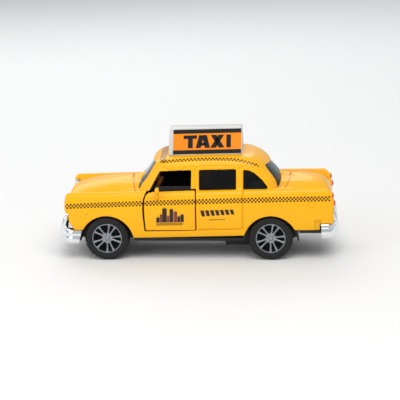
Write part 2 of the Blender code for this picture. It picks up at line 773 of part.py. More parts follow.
# ---------------------------------------------------------------- chassis
PAN_PROFILE = ((-60.0, 11.6), (-49.0, 11.6), (-47.0, 8.0), (47.2, 8.0), (49.0, 11.6), (52.2, 11.6),
               (52.2, 13.2), (48.2, 13.2), (46.5, 9.4), (-46.3, 9.4), (-48.3, 13.2), (-60.0, 13.2))


def chassis():
    """Stepped pan with four wheel wells, the motor opening, axle grooves and a stand boss."""
    pan = mesh_object("chassis", prism_y_into(bmesh.new(), PAN_PROFILE, -PAN_HALF_WIDTH,
                                                  PAN_HALF_WIDTH),
                      black_plastic())
    for axle_x in (WHEELBASE / 2, -WHEELBASE / 2):
        for side in (-1, 1):
            y_wall, y_in, y_out = side * WELL_WALL_Y, side * WELL_INNER_Y, side * WELL_OUTER_Y
            y0, y1 = sorted((y_in, side * 25.0))
            cut_box(pan, (axle_x - WELL_RADIUS, y0, 0.0), (axle_x + WELL_RADIUS, y1, 13.4))
            well = rod("well", (axle_x, y_wall, ARCH_CENTRE_Z), (axle_x, y_out, ARCH_CENTRE_Z),
                       WELL_RADIUS, None, CUTTERS, 24)
            cut_rod(well, (axle_x, y_in, ARCH_CENTRE_Z), (axle_x, side * 26.0, ARCH_CENTRE_Z),
                    WELL_RADIUS - 0.8, 24)
            cut_box(well, (axle_x - 20.0, -26.0, -10.0), (axle_x + 20.0, 26.0, 8.4))
            add(pan, well)
        cut_box(pan, (axle_x - AXLE_RADIUS - 0.4, -16.0, 8.6), (axle_x + AXLE_RADIUS + 0.4, 16.0, 11.3))
    cut_box(pan, (CASE_X[0] - 0.6, -CASE_HALF_WIDTH - 0.4, 0.0),
            (CASE_X[1] + 0.6, CASE_HALF_WIDTH + 0.4, 15.0))
    for x, _, _ in SCREWS.values():
        cut_rod(pan, (x, 0, 0.0), (x, 0, 20.0), SHANK_RADIUS + FIT, 12)
    add_rod(pan, (STAND_X, 0, STAND_FACE_Z), (STAND_X, 0, 8.5), STAND_RADIUS, 20)
    cut_rod(pan, (STAND_X, 0, 0.0), (STAND_X, 0, 20.0), 1.1, 12)
    return tidy_mesh(pan)


def front_axle_keeper():
    """Saddle that holds the front axle down in its groove."""
    keeper = box("front_axle_keeper", (WHEELBASE / 2 - 3.2, -6.0, 9.7),
                 (WHEELBASE / 2 + 3.2, 6.0, 12.8), black_plastic())
    cut_box(keeper, (WHEELBASE / 2 - AXLE_RADIUS - FIT, -7.0, 9.0),
            (WHEELBASE / 2 + AXLE_RADIUS + FIT, 7.0, TYRE_RADIUS + AXLE_RADIUS + FIT))
    return keeper


def body_screw(name, x, pan_bottom):
    """Pan-head screw with a cross slot in its head."""
    seat = pan_bottom - FIT
    screw = rod(name, (x, 0, seat), (x, 0, SCREW_TIP), SHANK_RADIUS, steel(), None, 12)
    add_rod(screw, (x, 0, seat - 1.0), (x, 0, seat + 0.05), HEAD_RADIUS, 16)
    cut_box(screw, (x - 1.2, -0.25, seat - 1.5), (x + 1.2, 0.25, seat - 0.5))
    cut_box(screw, (x - 0.25, -1.2, seat - 1.5), (x + 0.25, 1.2, seat - 0.5))
    return screw


# ---------------------------------------------------------------- wheels
RIM_PROFILE = ((0.0, 21.1), (1.3, 21.1), (1.6, 20.7), (3.0, 20.6), (6.2, 20.6), (6.5, 21.6),
               (7.2, 21.6), (7.2, 15.7), (6.5, 15.7), (6.3, 19.2), (2.2, 19.2), (2.2, 16.2),
               (1.2, 16.2), (1.2, 18.9), (0.0, 18.9))
TYRE_PROFILE = ((7.5, 16.0), (7.5, 21.3), (8.2, 22.0), (9.2, 21.8), (9.9, 20.6), (9.9, 16.6),
                (9.2, 15.4), (8.2, 15.2))


def left_rim(name):
    """Ten-spoke face in five pairs, barrel and blind hub."""
    rim = turned(name, RIM_PROFILE, alloy(), (0.0, 0.0), 20, closed=False)
    bm = bmesh.new()
    for index in range(5):
        for centre, spread in ((72 * index + 90, 6.5), (72 * index + 126, 15.5)):
            outline = []
            for radius, sign in ((3.1, -1), (6.1, -1), (6.1, 1), (3.1, 1)):
                angle = math.radians(centre + sign * spread)
                outline.append((radius * math.cos(angle), radius * math.sin(angle)))
            prism_y_into(bm, outline, 18.0, 22.0)
    boolean(rim, mesh_object("windows", bm, None, CUTTERS))
    return smooth(tidy_mesh(rim), 30)


def place(obj, x, z):
    """Puts a piece built round the Y axis on an axle."""
    obj.location = (x * MM, 0.0, z * MM)
    return obj


def wheel_set(end, axle_x):
    """Axle with a rim and a tyre at each end."""
    axle = place(rod(end + "_axle", (0, -18.4, 0), (0, 18.4, 0), AXLE_RADIUS, steel(), None, 12),
                 axle_x, TYRE_RADIUS)
    pieces = [smooth(axle)]
    rim = left_rim(end + "_left_rim")
    tyre = smooth(turned(end + "_left_tyre", TYRE_PROFILE, tyre_rubber(), (0.0, 0.0), 28), 40)
    pieces += [rim, tyre, mirrored(rim, end + "_right_rim"), mirrored(tyre, end + "_right_tyre")]
    for piece in pieces[1:]:
        place(piece, axle_x, TYRE_RADIUS)
    return pieces


# ---------------------------------------------------------------- pull-back motor
AXLE_POINT = (-WHEELBASE / 2, TYRE_RADIUS)
IDLER_ANGLE = 31.0
SPRING_ANGLE = -30.0


def step_from(point, angle, teeth):
    """Centre of the gear that meshes at an angle, for a total number of teeth."""
    reach = GEAR_MODULE * teeth / 2 + CENTRE_SLACK
    turn = math.radians(angle)
    return (point[0] + reach * math.cos(turn), point[1] + reach * math.sin(turn))


IDLER_POINT = step_from(AXLE_POINT, IDLER_ANGLE, AXLE_TEETH + WHEEL_TEETH)
SPRING_POINT = step_from(IDLER_POINT, SPRING_ANGLE, IDLER_TEETH + WHEEL_TEETH)


def gear_outline(teeth, first_tooth):
    """Short-addendum involute teeth, thinned for backlash."""
    pitch_radius = GEAR_MODULE * teeth / 2
    base_radius = pitch_radius * math.cos(PRESSURE_ANGLE)

    def involute(radius):
        angle = math.acos(min(base_radius / radius, 1.0))
        return math.tan(angle) - angle

    radii = (pitch_radius - 1.1 * GEAR_MODULE, pitch_radius, pitch_radius + 0.8 * GEAR_MODULE)
    half_tooth = math.pi / (2 * teeth) - TOOTH_THINNING / pitch_radius
    points = []
    for tooth in range(teeth):
        centre = math.radians(first_tooth) + 2 * math.pi * tooth / teeth
        flank = [(r, half_tooth + involute(pitch_radius) - involute(max(r, base_radius)))
                 for r in radii]
        for radius, spread in flank:
            points.append((radius, centre - spread))
        for radius, spread in reversed(flank):
            points.append((radius, centre + spread))
    return [(r * math.cos(a), r * math.sin(a)) for r, a in points]


def gear(name, teeth, first_tooth, y0, y1, mat=None, collection=None):
    bm = prism_y_into(bmesh.new(), gear_outline(teeth, first_tooth), y0, y1)
    return mesh_object(name, bm, mat, collection)


def axle_gear():
    wheel = gear("axle_gear", AXLE_TEETH, IDLER_ANGLE, 2.3, 4.2, nylon())
    cut_rod(wheel, (0, 0, 0), (0, 8, 0), AXLE_RADIUS + FIT, 12)
    return place(wheel, *AXLE_POINT)


def idler_gear():
    """Large and small gear in one, turning on the idler shaft."""
    wheel = gear("idler_gear", WHEEL_TEETH, IDLER_ANGLE + 180 + 180 / WHEEL_TEETH, 2.4, 4.0, nylon())
    add(wheel, gear("small", IDLER_TEETH, SPRING_ANGLE, 0.2, 2.5, None, CUTTERS))
    cut_rod(wheel, (0, -3, 0), (0, 8, 0), IDLER_SHAFT_RADIUS + FIT, 12)
    return place(wheel, *IDLER_POINT)


def spring_gear():
    """Gear on the arbor that the mainspring turns."""
    wheel = gear("spring_gear", WHEEL_TEETH, SPRING_ANGLE + 180 + 180 / WHEEL_TEETH, 0.2, 1.8,
                 nylon())
    add_rod(wheel, (0, -CASE_HALF_WIDTH + 0.4, 0), (0, CASE_HALF_WIDTH - 0.4, 0), ARBOR_RADIUS, 12)
    return place(wheel, *SPRING_POINT)


def idler_shaft():
    shaft = rod("idler_shaft", (0, -CASE_HALF_WIDTH + 0.4, 0), (0, CASE_HALF_WIDTH - 0.4, 0),
                IDLER_SHAFT_RADIUS, steel(), None, 10)
    return place(shaft, *IDLER_POINT)


def mainspring():
    """Flat spiral strip round the arbor."""
    inner, outer = [], []
    for i in range(SPRING_TURNS * SPRING_STEPS + 1):
        angle = 2 * math.pi * i / SPRING_STEPS
        radius = SPRING_INNER + SPRING_PITCH * i / SPRING_STEPS
        for side, offset in ((inner, 0.0), (outer, SPRING_THICKNESS)):
            side.append(((radius + offset) * math.cos(angle), (radius + offset) * math.sin(angle)))
    bm = prism_y_into(bmesh.new(), outer + list(reversed(inner)), -5.6, -1.6)
    return place(mesh_object("mainspring", bm, steel()), *SPRING_POINT)


def motor_case_left():
    """One half of the gearbox, with its bearings and two ears that sit on the chassis."""
    case = box("motor_case_left", (CASE_X[0], 0.15, CASE_Z[0]), (CASE_X[1], CASE_HALF_WIDTH, CASE_Z[1]),
               black_plastic())
    for x in (CASE_X[0] - 2.4, CASE_X[1] - 0.2):
        add_box(case, (x, 0.15, 9.7), (x + 2.6, 5.0, 10.9))
    cut_box(case, (CASE_X[0] + 1, -1.0, CASE_Z[0] + 1),
            (CASE_X[1] - 1, CASE_HALF_WIDTH - 1, CASE_Z[1] - 1))
    for point, radius in ((AXLE_POINT, AXLE_RADIUS), (IDLER_POINT, IDLER_SHAFT_RADIUS),
                          (SPRING_POINT, ARBOR_RADIUS)):
        cut_rod(case, (point[0], 3.0, point[1]), (point[0], 9.0, point[1]), radius + FIT, 12)
    return tidy_mesh(case)


# ---------------------------------------------------------------- assembly
def set_origin(obj, point):
    """Moves an object's origin to a point without moving its shape."""
    offset = Vector(point) * MM
    obj.data.transform(Matrix.Translation(-offset))
    obj.location = offset


def pair(left):
    """A left piece and its mirror image."""
    return [left, mirrored(left, left.name.replace("left", "right"))]


def build_car():
    root_pieces = [body_shell(), glazing(), interior_tub(), front_seat(), dashboard(), steering_wheel(),
                   front_grille(), chassis(), front_axle_keeper(), sign_case(), mainspring(),
                   idler_shaft(), idler_gear(), spring_gear(), axle_gear()]
    root_pieces.append(bumper("front_bumper", 47.3, 57.4, 7.8, 13.4, 17.0, 52.6))
    root_pieces.append(bumper("rear_bumper", -58.6, -65.6, 11.2, 16.4, 22.6, -60.4))
    head = lamp_pair("headlamp_left", 1, 52.9, 1.6, ((18.1, 25.6),), 2.0, 1.25, clear_plastic(),
                     (23.2, 28.1))
    tail = lamp_pair("tail_lamp_left", 1, -62.7, -0.9, ((18.1, 28.6), (18.1, 25.3)), 1.55, 1.7,
                     red_plastic(), (23.6, 29.7))
    root_pieces += pair(head) + pair(tail)
    for side, word in ((1, "left"), (-1, "right")):
        root_pieces.append(sign_face("sign_panel_" + word, side, SIGN_PANEL, -0.4, 0.0, orange_print()))
    for end, (x, pan_bottom, _) in SCREWS.items():
        root_pieces.append(body_screw("body_screw_" + end, x, pan_bottom))
    root_pieces += pair(motor_case_left())
    root_pieces += wheel_set("front", WHEELBASE / 2) + wheel_set("rear", -WHEELBASE / 2)
    for piece in (left_door(), left_mirror(), left_hinge_pin()):
        for side, half in zip((1, -1), pair(piece)):
            set_origin(half, (HINGE_X, side * HINGE_Y, 0.0))
            root_pieces.append(half)
    frame = bpy.data.objects.new("car_frame", None)
    frame.location = (ORIGIN_SHIFT * MM, 0.0, 0.0)
    PARTS.objects.link(frame)
    for piece in root_pieces:
        piece.parent = frame


build_car()
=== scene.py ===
"""Looks of the diecast taxi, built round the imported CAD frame.

Shapes are worked out in the car's own millimetres: x runs forward from the middle
of the wheelbase, y to the car's left, z up from the ground.  world() turns them into
metres in the frame.  A body height h is a height on the body before its slight
nose-down rake: h = z + RAKE * x.
"""
import math
from functools import partial

import bmesh
import bpy
import numpy as np
import openvdb
from mathutils import Matrix, Vector

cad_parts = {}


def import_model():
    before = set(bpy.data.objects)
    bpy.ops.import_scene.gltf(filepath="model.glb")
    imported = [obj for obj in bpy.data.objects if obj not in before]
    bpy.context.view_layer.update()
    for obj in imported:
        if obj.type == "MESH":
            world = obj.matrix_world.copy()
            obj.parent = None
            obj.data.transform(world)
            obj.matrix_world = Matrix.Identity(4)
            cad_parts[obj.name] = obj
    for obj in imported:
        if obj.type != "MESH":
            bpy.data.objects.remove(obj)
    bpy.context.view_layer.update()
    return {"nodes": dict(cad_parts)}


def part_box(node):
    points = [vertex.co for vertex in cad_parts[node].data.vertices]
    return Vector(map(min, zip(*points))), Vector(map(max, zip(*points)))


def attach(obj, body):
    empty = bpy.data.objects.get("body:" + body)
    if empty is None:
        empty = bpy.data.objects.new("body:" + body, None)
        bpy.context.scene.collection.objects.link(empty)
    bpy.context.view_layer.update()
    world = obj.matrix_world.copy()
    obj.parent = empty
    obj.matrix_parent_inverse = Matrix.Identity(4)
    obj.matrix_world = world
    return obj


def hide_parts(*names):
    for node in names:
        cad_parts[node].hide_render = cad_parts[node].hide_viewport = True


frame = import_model()

MM = 0.001
RAKE = 0.022


def box_mm(node):
    """A node's lowest and highest corners in world millimetres."""
    low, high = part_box(node)
    return Vector(low) / MM, Vector(high) / MM


FRONT_AXLE = sum(box_mm("front_axle"), Vector()) / 2
REAR_AXLE = sum(box_mm("rear_axle"), Vector()) / 2
SHIFT = (FRONT_AXLE.x + REAR_AXLE.x) / 2
AXLE_X = (FRONT_AXLE.x - REAR_AXLE.x) / 2
AXLE_Z = FRONT_AXLE.z

# ---------------- driving sizes
VOXEL = 0.22
WALL = 1.5
SILL_H = 10.7
BELT_H = 31.2
HALF_WIDTH = 23.2
NOSE_X = 55.1
TAIL_X = -64.1
RIDGE_H = 31.3
GROOVE_WIDTH = 0.56
GROOVE_DEPTH = 0.55
BONNET_SEAM = (25.5, -0.0075)    # station at the middle, and how it sweeps with y squared
BOOT_SEAM = (-45.2, 0.013)
SEAM_HALF = 16.5
ARCH_RADIUS = 11.9
ARCH_Z = 8.3
DOOR_REAR_X = -3.1
DOOR_BOTTOM_H = 14.1
HINGE_X, HINGE_Y = 16.6, 19.6
HEADLAMP_Y, HEADLAMP_Z, LAMP_FACE_X = 18.1, 25.6, 53.6
TAIL_LAMP_Y, TAIL_LAMP_Z = 18.8, (28.8, 25.5)

CROWN_X = (-66.0, -64.6, -63.6, -61.8, -59.0, -53.8, -48.0, -41.6, 22.4, 25.2, 32.0, 38.8, 45.7,
           50.8, 53.2, 54.6, 55.3, 57.0)
CROWN_H = (18.0, 24.0, 27.6, 30.0, 31.8, 33.0, 33.8, 34.3, 35.3, 34.9, 34.3, 33.7, 32.6,
           31.3, 30.2, 28.6, 26.8, 20.0)
CABIN_H = (28.0, 31.0, 34.0, 36.0, 38.6, 41.0, 43.0, 45.0, 47.0)
CABIN_FRONT = (27.3, 25.1, 23.0, 21.1, 19.2, 17.6, 16.5, 15.4, 14.2)
CABIN_REAR = (-44.5, -43.0, -41.6, -39.9, -37.4, -35.4, -33.4, -31.0, -28.0)
CABIN_HALF = (20.5, 19.9, 19.2, 18.75, 18.15, 17.6, 17.1, 16.6, 16.1)

DOOR_OUTLINE = ((17.0, BELT_H + 0.1), (18.7, 29.9), (19.4, 28.0), (19.65, 25.5), (19.6, 22.6),
                (19.3, 19.5), (18.6, DOOR_BOTTOM_H), (DOOR_REAR_X, DOOR_BOTTOM_H),
                (DOOR_REAR_X, BELT_H + 0.1))
DOOR_EDGE_X = tuple(x for x, h in reversed(DOOR_OUTLINE[:7]))
DOOR_EDGE_H = tuple(h for x, h in reversed(DOOR_OUTLINE[:7]))
APERTURE = ((12.3, 39.8), (17.3, 31.5), (19.1, 30.1), (19.9, 28.1), (20.1, 25.5), (20.05, 22.6),
            (19.75, 19.5), (19.0, DOOR_BOTTOM_H - 0.35), (DOOR_REAR_X - 0.4, DOOR_BOTTOM_H - 0.35),
            (DOOR_REAR_X - 0.4, BELT_H + 0.2), (-1.2, BELT_H + 0.2), (-1.2, 39.8))
REAR_WINDOW = ((-4.7, 31.4), (-4.7, 39.6), (-21.1, 39.6), (-21.1, 31.4))
QUARTER_WINDOW = ((-24.3, 31.2), (-24.3, 39.3), (-26.4, 39.1), (-28.6, 38.3), (-30.8, 36.7),
                  (-32.9, 34.2), (-34.9, 31.2))
REAR_DOOR = ((-3.3, 33.0), (-24.0, 33.0), (-24.0, 14.0), (-3.3, 14.0))
WINDSCREEN = ((-13.6, 42.2), (-15.6, 31.8), (-11.5, 33.7), (-6.0, 35.2), (0.0, 35.7), (6.0, 35.2),
              (11.5, 33.7), (15.6, 31.8), (13.6, 42.2), (0.0, 42.9))
REAR_SCREEN = ((-12.8, 39.6), (-15.2, 31.2), (-11.0, 33.0), (-5.0, 34.4), (0.0, 34.7), (5.0, 34.4),
               (11.0, 33.0), (15.2, 31.2), (12.8, 39.6), (0.0, 40.2))
SCREEN_STOPS = (11.0, -29.0)    # how far back the front screen cuts, and how far forward the rear
WING_MARKER = (45.4, 21.6, 21.7)
WING_MARKER_RADIUS = 1.25
FUEL_FLAP, FUEL_FLAP_SIZE = (-54.2, 23.9), (1.9, 1.15)
# where the body's lower edge steps up: station, which way it runs, height and rounding
LOWER_STEPS = ((46.0, 1, 13.8, 0.6), (-46.4, -1, 13.7, 0.6), (53.1, 1, 21.2, 0.5))
REAR_BUMPER_NOTCH = (-57.9, 16.7)


# ---------------- distance fields
def smooth_max(a, b, reach):
    """Larger of two fields, with the edge between them rounded."""
    blend = np.maximum(reach - np.abs(a - b), 0.0) / reach
    return np.maximum(a, b) + blend * blend * reach * 0.25


def smooth_min(a, b, reach):
    return -smooth_max(-a, -b, reach)


def smooth_step(t):
    t = np.clip(t, 0.0, 1.0)
    return t * t * (3.0 - 2.0 * t)


def polygon_field(u, v, points, rounding=0.0):
    """Signed distance in a plane to a polygon with rounded corners."""
    best = np.full(np.broadcast(u, v).shape, 1e9, np.float32)
    crossings = np.zeros(best.shape, bool)
    for (u0, v0), (u1, v1) in zip(points, points[1:] + points[:1]):
        du, dv = u1 - u0, v1 - v0
        t = np.clip(((u - u0) * du + (v - v0) * dv) / (du * du + dv * dv), 0.0, 1.0)
        best = np.minimum(best, (u - u0 - t * du) ** 2 + (v - v0 - t * dv) ** 2)
        spans = (v0 > v) != (v1 > v)
        if dv != 0.0:
            crossings ^= spans & (u < u0 + (v - v0) * du / dv)
    distance = np.sqrt(best)
    return np.where(crossings, -distance, distance) - rounding


def shrunk(points, amount):
    """Polygon corners pulled towards the middle, to leave room for rounding."""
    corners = np.array(points)
    spokes = corners - corners.mean(axis=0)
    return (corners - 1.2 * amount * spokes / np.linalg.norm(spokes, axis=1, keepdims=True)).tolist()


def side_half_width(x, h):
    """Half width of the body side below the belt."""
    tuck = np.where(h < 20.0, 0.0081, 0.0145) * (h - 20.0) ** 2
    crease = 0.16 * smooth_step((21.0 - h) / 0.5) * smooth_step((-38.0 - x) / 3.0)
    return HALF_WIDTH - 1.1 * (x / 55.0) ** 2 - tuck + crease


def tail_face(h):
    """Station of the body's rear face, leaning in towards its top."""
    return TAIL_X + 0.03 * np.maximum(h - 22.0, 0.0) ** 2


def smooth_crown(x):
    """Crown line of bonnet and boot, eased between its points."""
    offsets = np.linspace(-1.6, 1.6, 9)
    return sum(np.interp(x + offset, CROWN_X, CROWN_H) for offset in offsets) / len(offsets)


class Fields:
    """Signed distances of the body's pieces on a grid over the car's left half."""

    def __init__(self, x_range, y_range, z_range, step):
        self.step = step
        self.origin = (x_range[0], y_range[0] + step / 2, z_range[0])
        x = np.arange(x_range[0], x_range[1], step, dtype=np.float32)
        y = np.arange(y_range[0] + step / 2, y_range[1], step, dtype=np.float32)
        z = np.arange(z_range[0], z_range[1], step, dtype=np.float32)
        self.x, self.y, self.z = x[:, None, None], y[None, :, None], z[None, None, :]
        self.h = self.z + RAKE * self.x
        self.outer_open = self.lower_body()
        self.cabin = self.cabin_field()
        self.outer_open = smooth_min(self.outer_open, self.cabin, 1.0)

    def lower_body(self):
        """Body below the belt: domed bonnet and boot between raised wings."""
        x, y, h = self.x, self.y, self.h
        dome = smooth_crown(x) - 4.3 * (y / 15.0) ** 2.6
        fender = RIDGE_H - 7.0 * smooth_step((18.9 - y) / 3.2)
        top = smooth_max(dome, fender, 1.4)
        side = y - side_half_width(x, h)
        body = smooth_max(side, (h - top) * 0.92, 2.2)
        pod = smooth_step((16.8 - y) / 1.8)
        nose = NOSE_X - 0.035 * (h - 26.0) ** 2 - 0.6 * pod
        body = smooth_max(body, x - nose, 1.5)
        return smooth_max(body, tail_face(h) - x, 1.6)

    def cabin_field(self):
        """Cabin: tapered walls with bowed ends under a crowned roof."""
        x, y, h = self.x, self.y, self.h
        front = np.interp(h, CABIN_H, CABIN_FRONT) - 2.2 * (y / 15.0) ** 3.5
        rear = np.interp(h, CABIN_H, CABIN_REAR) + 2.8 * (y / 14.0) ** 2.5
        half = np.interp(h, CABIN_H, CABIN_HALF)
        radius = 3.4
        ahead = np.maximum(x - front, rear - x) * 0.86 + radius
        aside = y - half + radius
        walls = np.hypot(np.maximum(ahead, 0.0), np.maximum(aside, 0.0))
        walls = walls + np.minimum(np.maximum(ahead, aside), 0.0) - radius
        roof = h - (45.75 - 0.0032 * y ** 2 - 0.0014 * (x + 7.0) ** 2)
        return smooth_max(walls, roof, 3.8)

    def solid(self):
        """Outer surface with the wing marker, and with the sill, arches and valances cut."""
        x, y, z, h = self.x, self.y, self.z, self.h
        marker_x, marker_y, marker_z = WING_MARKER
        marker = np.sqrt((x - marker_x) ** 2 + (z - marker_z) ** 2 + (y - marker_y) ** 2)
        body = smooth_min(self.outer_open, marker - WING_MARKER_RADIUS, 0.5)
        body = smooth_max(body, SILL_H - h, 0.9)
        for station, way, height, rounding in LOWER_STEPS:
            body = smooth_max(body, np.minimum(way * (x - station), height - z), rounding)
        body = np.maximum(body, np.minimum(REAR_BUMPER_NOTCH[0] - x, REAR_BUMPER_NOTCH[1] - z))
        for axle in (AXLE_X, -AXLE_X):
            arch = np.hypot(x - axle, np.maximum(z - ARCH_Z, 0.0)) - ARCH_RADIUS
            body = smooth_max(body, -np.maximum(arch, 12.0 - y), 0.5)
        return body

    def carve(self, body, mask, depth=GROOVE_DEPTH):
        """Sinks a masked strip into the outer surface."""
        return np.maximum(body, -np.maximum(mask, -(self.outer_open + depth)))

    def engrave(self, body):
        """Shut lines, cowl lines, window surround, fuel flap and bumper step."""
        x, y, z, h = self.x, self.y, self.z, self.h
        half = GROOVE_WIDTH / 2
        flank = 17.5 - y
        line = np.abs(polygon_field(x, h, REAR_DOOR)) - half
        line = np.maximum(np.maximum(line, x + 4.4), np.maximum(flank, h - BELT_H))
        body = self.carve(body, line)
        for station, sweep in (BONNET_SEAM, BOOT_SEAM):
            seam = np.abs(x - (station + sweep * y ** 2)) - half
            body = self.carve(body, np.maximum(seam, np.maximum(30.0 - h, y - SEAM_HALF)))
        front_window = APERTURE[:1] + APERTURE[-2:] + ((16.8, 32.0),)
        surround = np.full(body.shape, 9.0, np.float32)
        for outline, rounding in ((REAR_WINDOW, 1.5), (QUARTER_WINDOW, 1.6), (front_window, 1.5)):
            surround = np.minimum(surround, polygon_field(x, h, shrunk(outline, 0.6), rounding))
        trim = np.maximum(np.abs(surround - 0.75) - 0.2, np.maximum(flank - 2.5, 31.8 - h))
        body = self.carve(body, trim, 0.25)
        (flap_x, flap_h), (long, tall) = FUEL_FLAP, FUEL_FLAP_SIZE
        flap = np.hypot((x - flap_x) / long, (h - flap_h) / tall) - 1.0
        body = self.carve(body, np.maximum(np.abs(flap * 1.4) - 0.2, flank), 0.25)
        step = np.maximum(np.abs(x + 57.1) - 1.4, z - 18.4)
        return self.carve(body, np.maximum(step, flank), 0.7)

    def screens(self):
        """Each screen's outline, with a field that keeps its cut to its own end."""
        front, rear = SCREEN_STOPS
        return (WINDSCREEN, front - self.x), (REAR_SCREEN, self.x - rear)

    def openings(self, body):
        """Window and door holes through the side, and the two screens."""
        x, y, h = self.x, self.y, self.h
        rounding = 0.6
        for outline in (APERTURE, REAR_WINDOW, QUARTER_WINDOW):
            hole = polygon_field(x, h, shrunk(outline, rounding), rounding)
            body = smooth_max(body, -np.maximum(hole, 12.0 - y), 0.55)
        for outline, beyond in self.screens():
            hole = polygon_field(y, h, shrunk(outline, 1.2), 1.2)
            body = smooth_max(body, -np.maximum(hole, beyond), 0.5)
        return body

    def shell(self):
        """The casting: engraved outside, hollow inside, with every opening."""
        x, y, z = self.x, self.y, self.z
        body = self.engrave(self.solid())
        body = np.maximum(body, -(self.outer_open + WALL))
        body = self.openings(body)
        edge = np.interp(self.h, DOOR_EDGE_H, DOOR_EDGE_X)
        reach = np.hypot(edge - HINGE_X, side_half_width(x, self.h) - HINGE_Y) + 0.25
        sweep = np.hypot(x - HINGE_X, y - HINGE_Y) - reach
        low = DOOR_BOTTOM_H - 0.35 - self.h
        body = np.maximum(body, -np.maximum(sweep, np.maximum(low, self.h - BELT_H - 0.2)))
        grille = np.maximum(np.abs(y) - 11.5, np.maximum(50.0 - x, np.abs(z - 19.6) - 3.8))
        body = np.maximum(body, -grille)
        lamp = np.hypot(y - HEADLAMP_Y, z - HEADLAMP_Z) - 2.2
        return np.maximum(body, -np.maximum(lamp, 52.4 - x))

    def door(self):
        """Door skin with rounded edges, the hinge barrel and its arm."""
        x, y, z, h = self.x, self.y, self.z, self.h
        outline = polygon_field(x, h, shrunk(DOOR_OUTLINE, 0.7), 0.7)
        body = smooth_max(self.outer_open, outline, 0.5)
        body = np.maximum(body, -(self.outer_open + WALL))
        body = np.maximum(body, np.minimum(20.0 - y, z - 27.0))
        body = np.maximum(body, 17.0 - y)
        barrel = np.maximum(np.hypot(x - HINGE_X, y - HINGE_Y) - 1.4, np.abs(z - 20.4) - 3.4)
        arm = np.maximum(np.abs(x - HINGE_X) - 0.9, np.maximum(np.abs(y - 20.8) - 1.2,
                                                              np.abs(z - 20.4) - 3.4))
        body = smooth_min(body, np.minimum(barrel, arm), 0.4)
        return np.maximum(body, 0.8 - np.hypot(x - HINGE_X, y - HINGE_Y))

    def glass(self):
        """Clear insert: a thin skin inside the cabin, raised into each window."""
        x, y, h = self.x, self.y, self.h
        skin = np.maximum(self.cabin + WALL + 0.15, -(self.cabin + WALL + 0.8))
        raised = np.maximum(self.cabin + 0.75, -(self.cabin + WALL + 0.7))
        panes = np.full(raised.shape, 9.0, np.float32)
        for outline in (REAR_WINDOW, QUARTER_WINDOW):
            hole = polygon_field(x, h, shrunk(outline, 0.75), 0.6)
            panes = np.minimum(panes, np.maximum(hole, 14.0 - y))
        for outline, beyond in self.screens():
            hole = polygon_field(y, h, shrunk(outline, 1.35), 1.2)
            panes = np.minimum(panes, np.maximum(hole, beyond))
        glass = np.minimum(skin, np.maximum(raised, panes))
        glass = np.maximum(glass, 31.3 - h)
        front_window = np.maximum(np.maximum(-2.0 - x, x - 16.6), np.maximum(14.5 - y, h - 41.3))
        return np.maximum(glass, -front_window)


def sample(field, points):
    """Trilinear reading of a field at index-space points."""
    limit = np.array(field.shape) - 2
    base = np.clip(np.floor(points).astype(np.int64), 0, limit)
    f = np.clip(points - base, 0.0, 1.0)
    total = 0.0
    for i in (0, 1):
        for j in (0, 1):
            for k in (0, 1):
                weight = (np.abs(1 - i - f[:, 0]) * np.abs(1 - j - f[:, 1]) * np.abs(1 - k - f[:, 2]))
                total = total + weight * field[base[:, 0] + i, base[:, 1] + j, base[:, 2] + k]
    return total


def turns(count):
    """Angles of equal steps round a circle."""
    return [2 * math.pi * k / count for k in range(count)]


def linked(name, data):
    """New object in the scene."""
    obj = bpy.data.objects.new(name, data)
    bpy.context.scene.collection.objects.link(obj)
    return obj


def world(points):
    """Car millimetres to world metres."""
    points = np.asarray(points, float) + np.array((SHIFT, 0.0, 0.0))
    return points * MM


def surface(name, fields, field, adaptivity, finish, mirror=False):
    """Polygonises a field; its own slopes give the shading normals."""
    step, origin = fields.step, fields.origin
    field = np.clip(field, -3 * step, 3 * step).astype(np.float32)
    if mirror:
        field = np.concatenate((field[:, ::-1], field), axis=1)
        origin = (origin[0], origin[1] - step * (field.shape[1] // 2), origin[2])
    grid = openvdb.FloatGrid(3 * step)
    grid.copyFromArray(np.ascontiguousarray(field))
    points, triangles, quads = grid.convertToPolygons(isovalue=0.0, adaptivity=adaptivity)
    points = np.asarray(points, float)
    faces = [tuple(t) for t in np.asarray(triangles)[:, ::-1].tolist()]
    faces += [tuple(q) for q in np.asarray(quads)[:, ::-1].tolist()]
    normals = np.stack([sample(field, points + d) - sample(field, points - d)
                        for d in np.eye(3) * 0.8], axis=1)
    normals /= np.linalg.norm(normals, axis=1, keepdims=True) + 1e-9
    mesh = bpy.data.meshes.new(name)
    mesh.from_pydata(world(points * step + np.array(origin)).tolist(), [], faces)
    mesh.update()
    mesh.shade_smooth()
    first = mesh.polygons[0]
    if first.normal.dot(Vector(normals[first.vertices[0]])) < 0:
        mesh.flip_normals()
    mesh.normals_split_custom_set_from_vertices(normals.tolist())
    mesh.materials.append(finish.material)
    return linked(name, mesh)


# ---------------- materials
def linear(*rgb):
    """sRGB 0-255 to the linear colour Blender wants."""
    values = [c / 255.0 for c in rgb]
    return tuple(c / 12.92 if c <= 0.04045 else ((c + 0.055) / 1.055) ** 2.4 for c in values) + (1.0,)


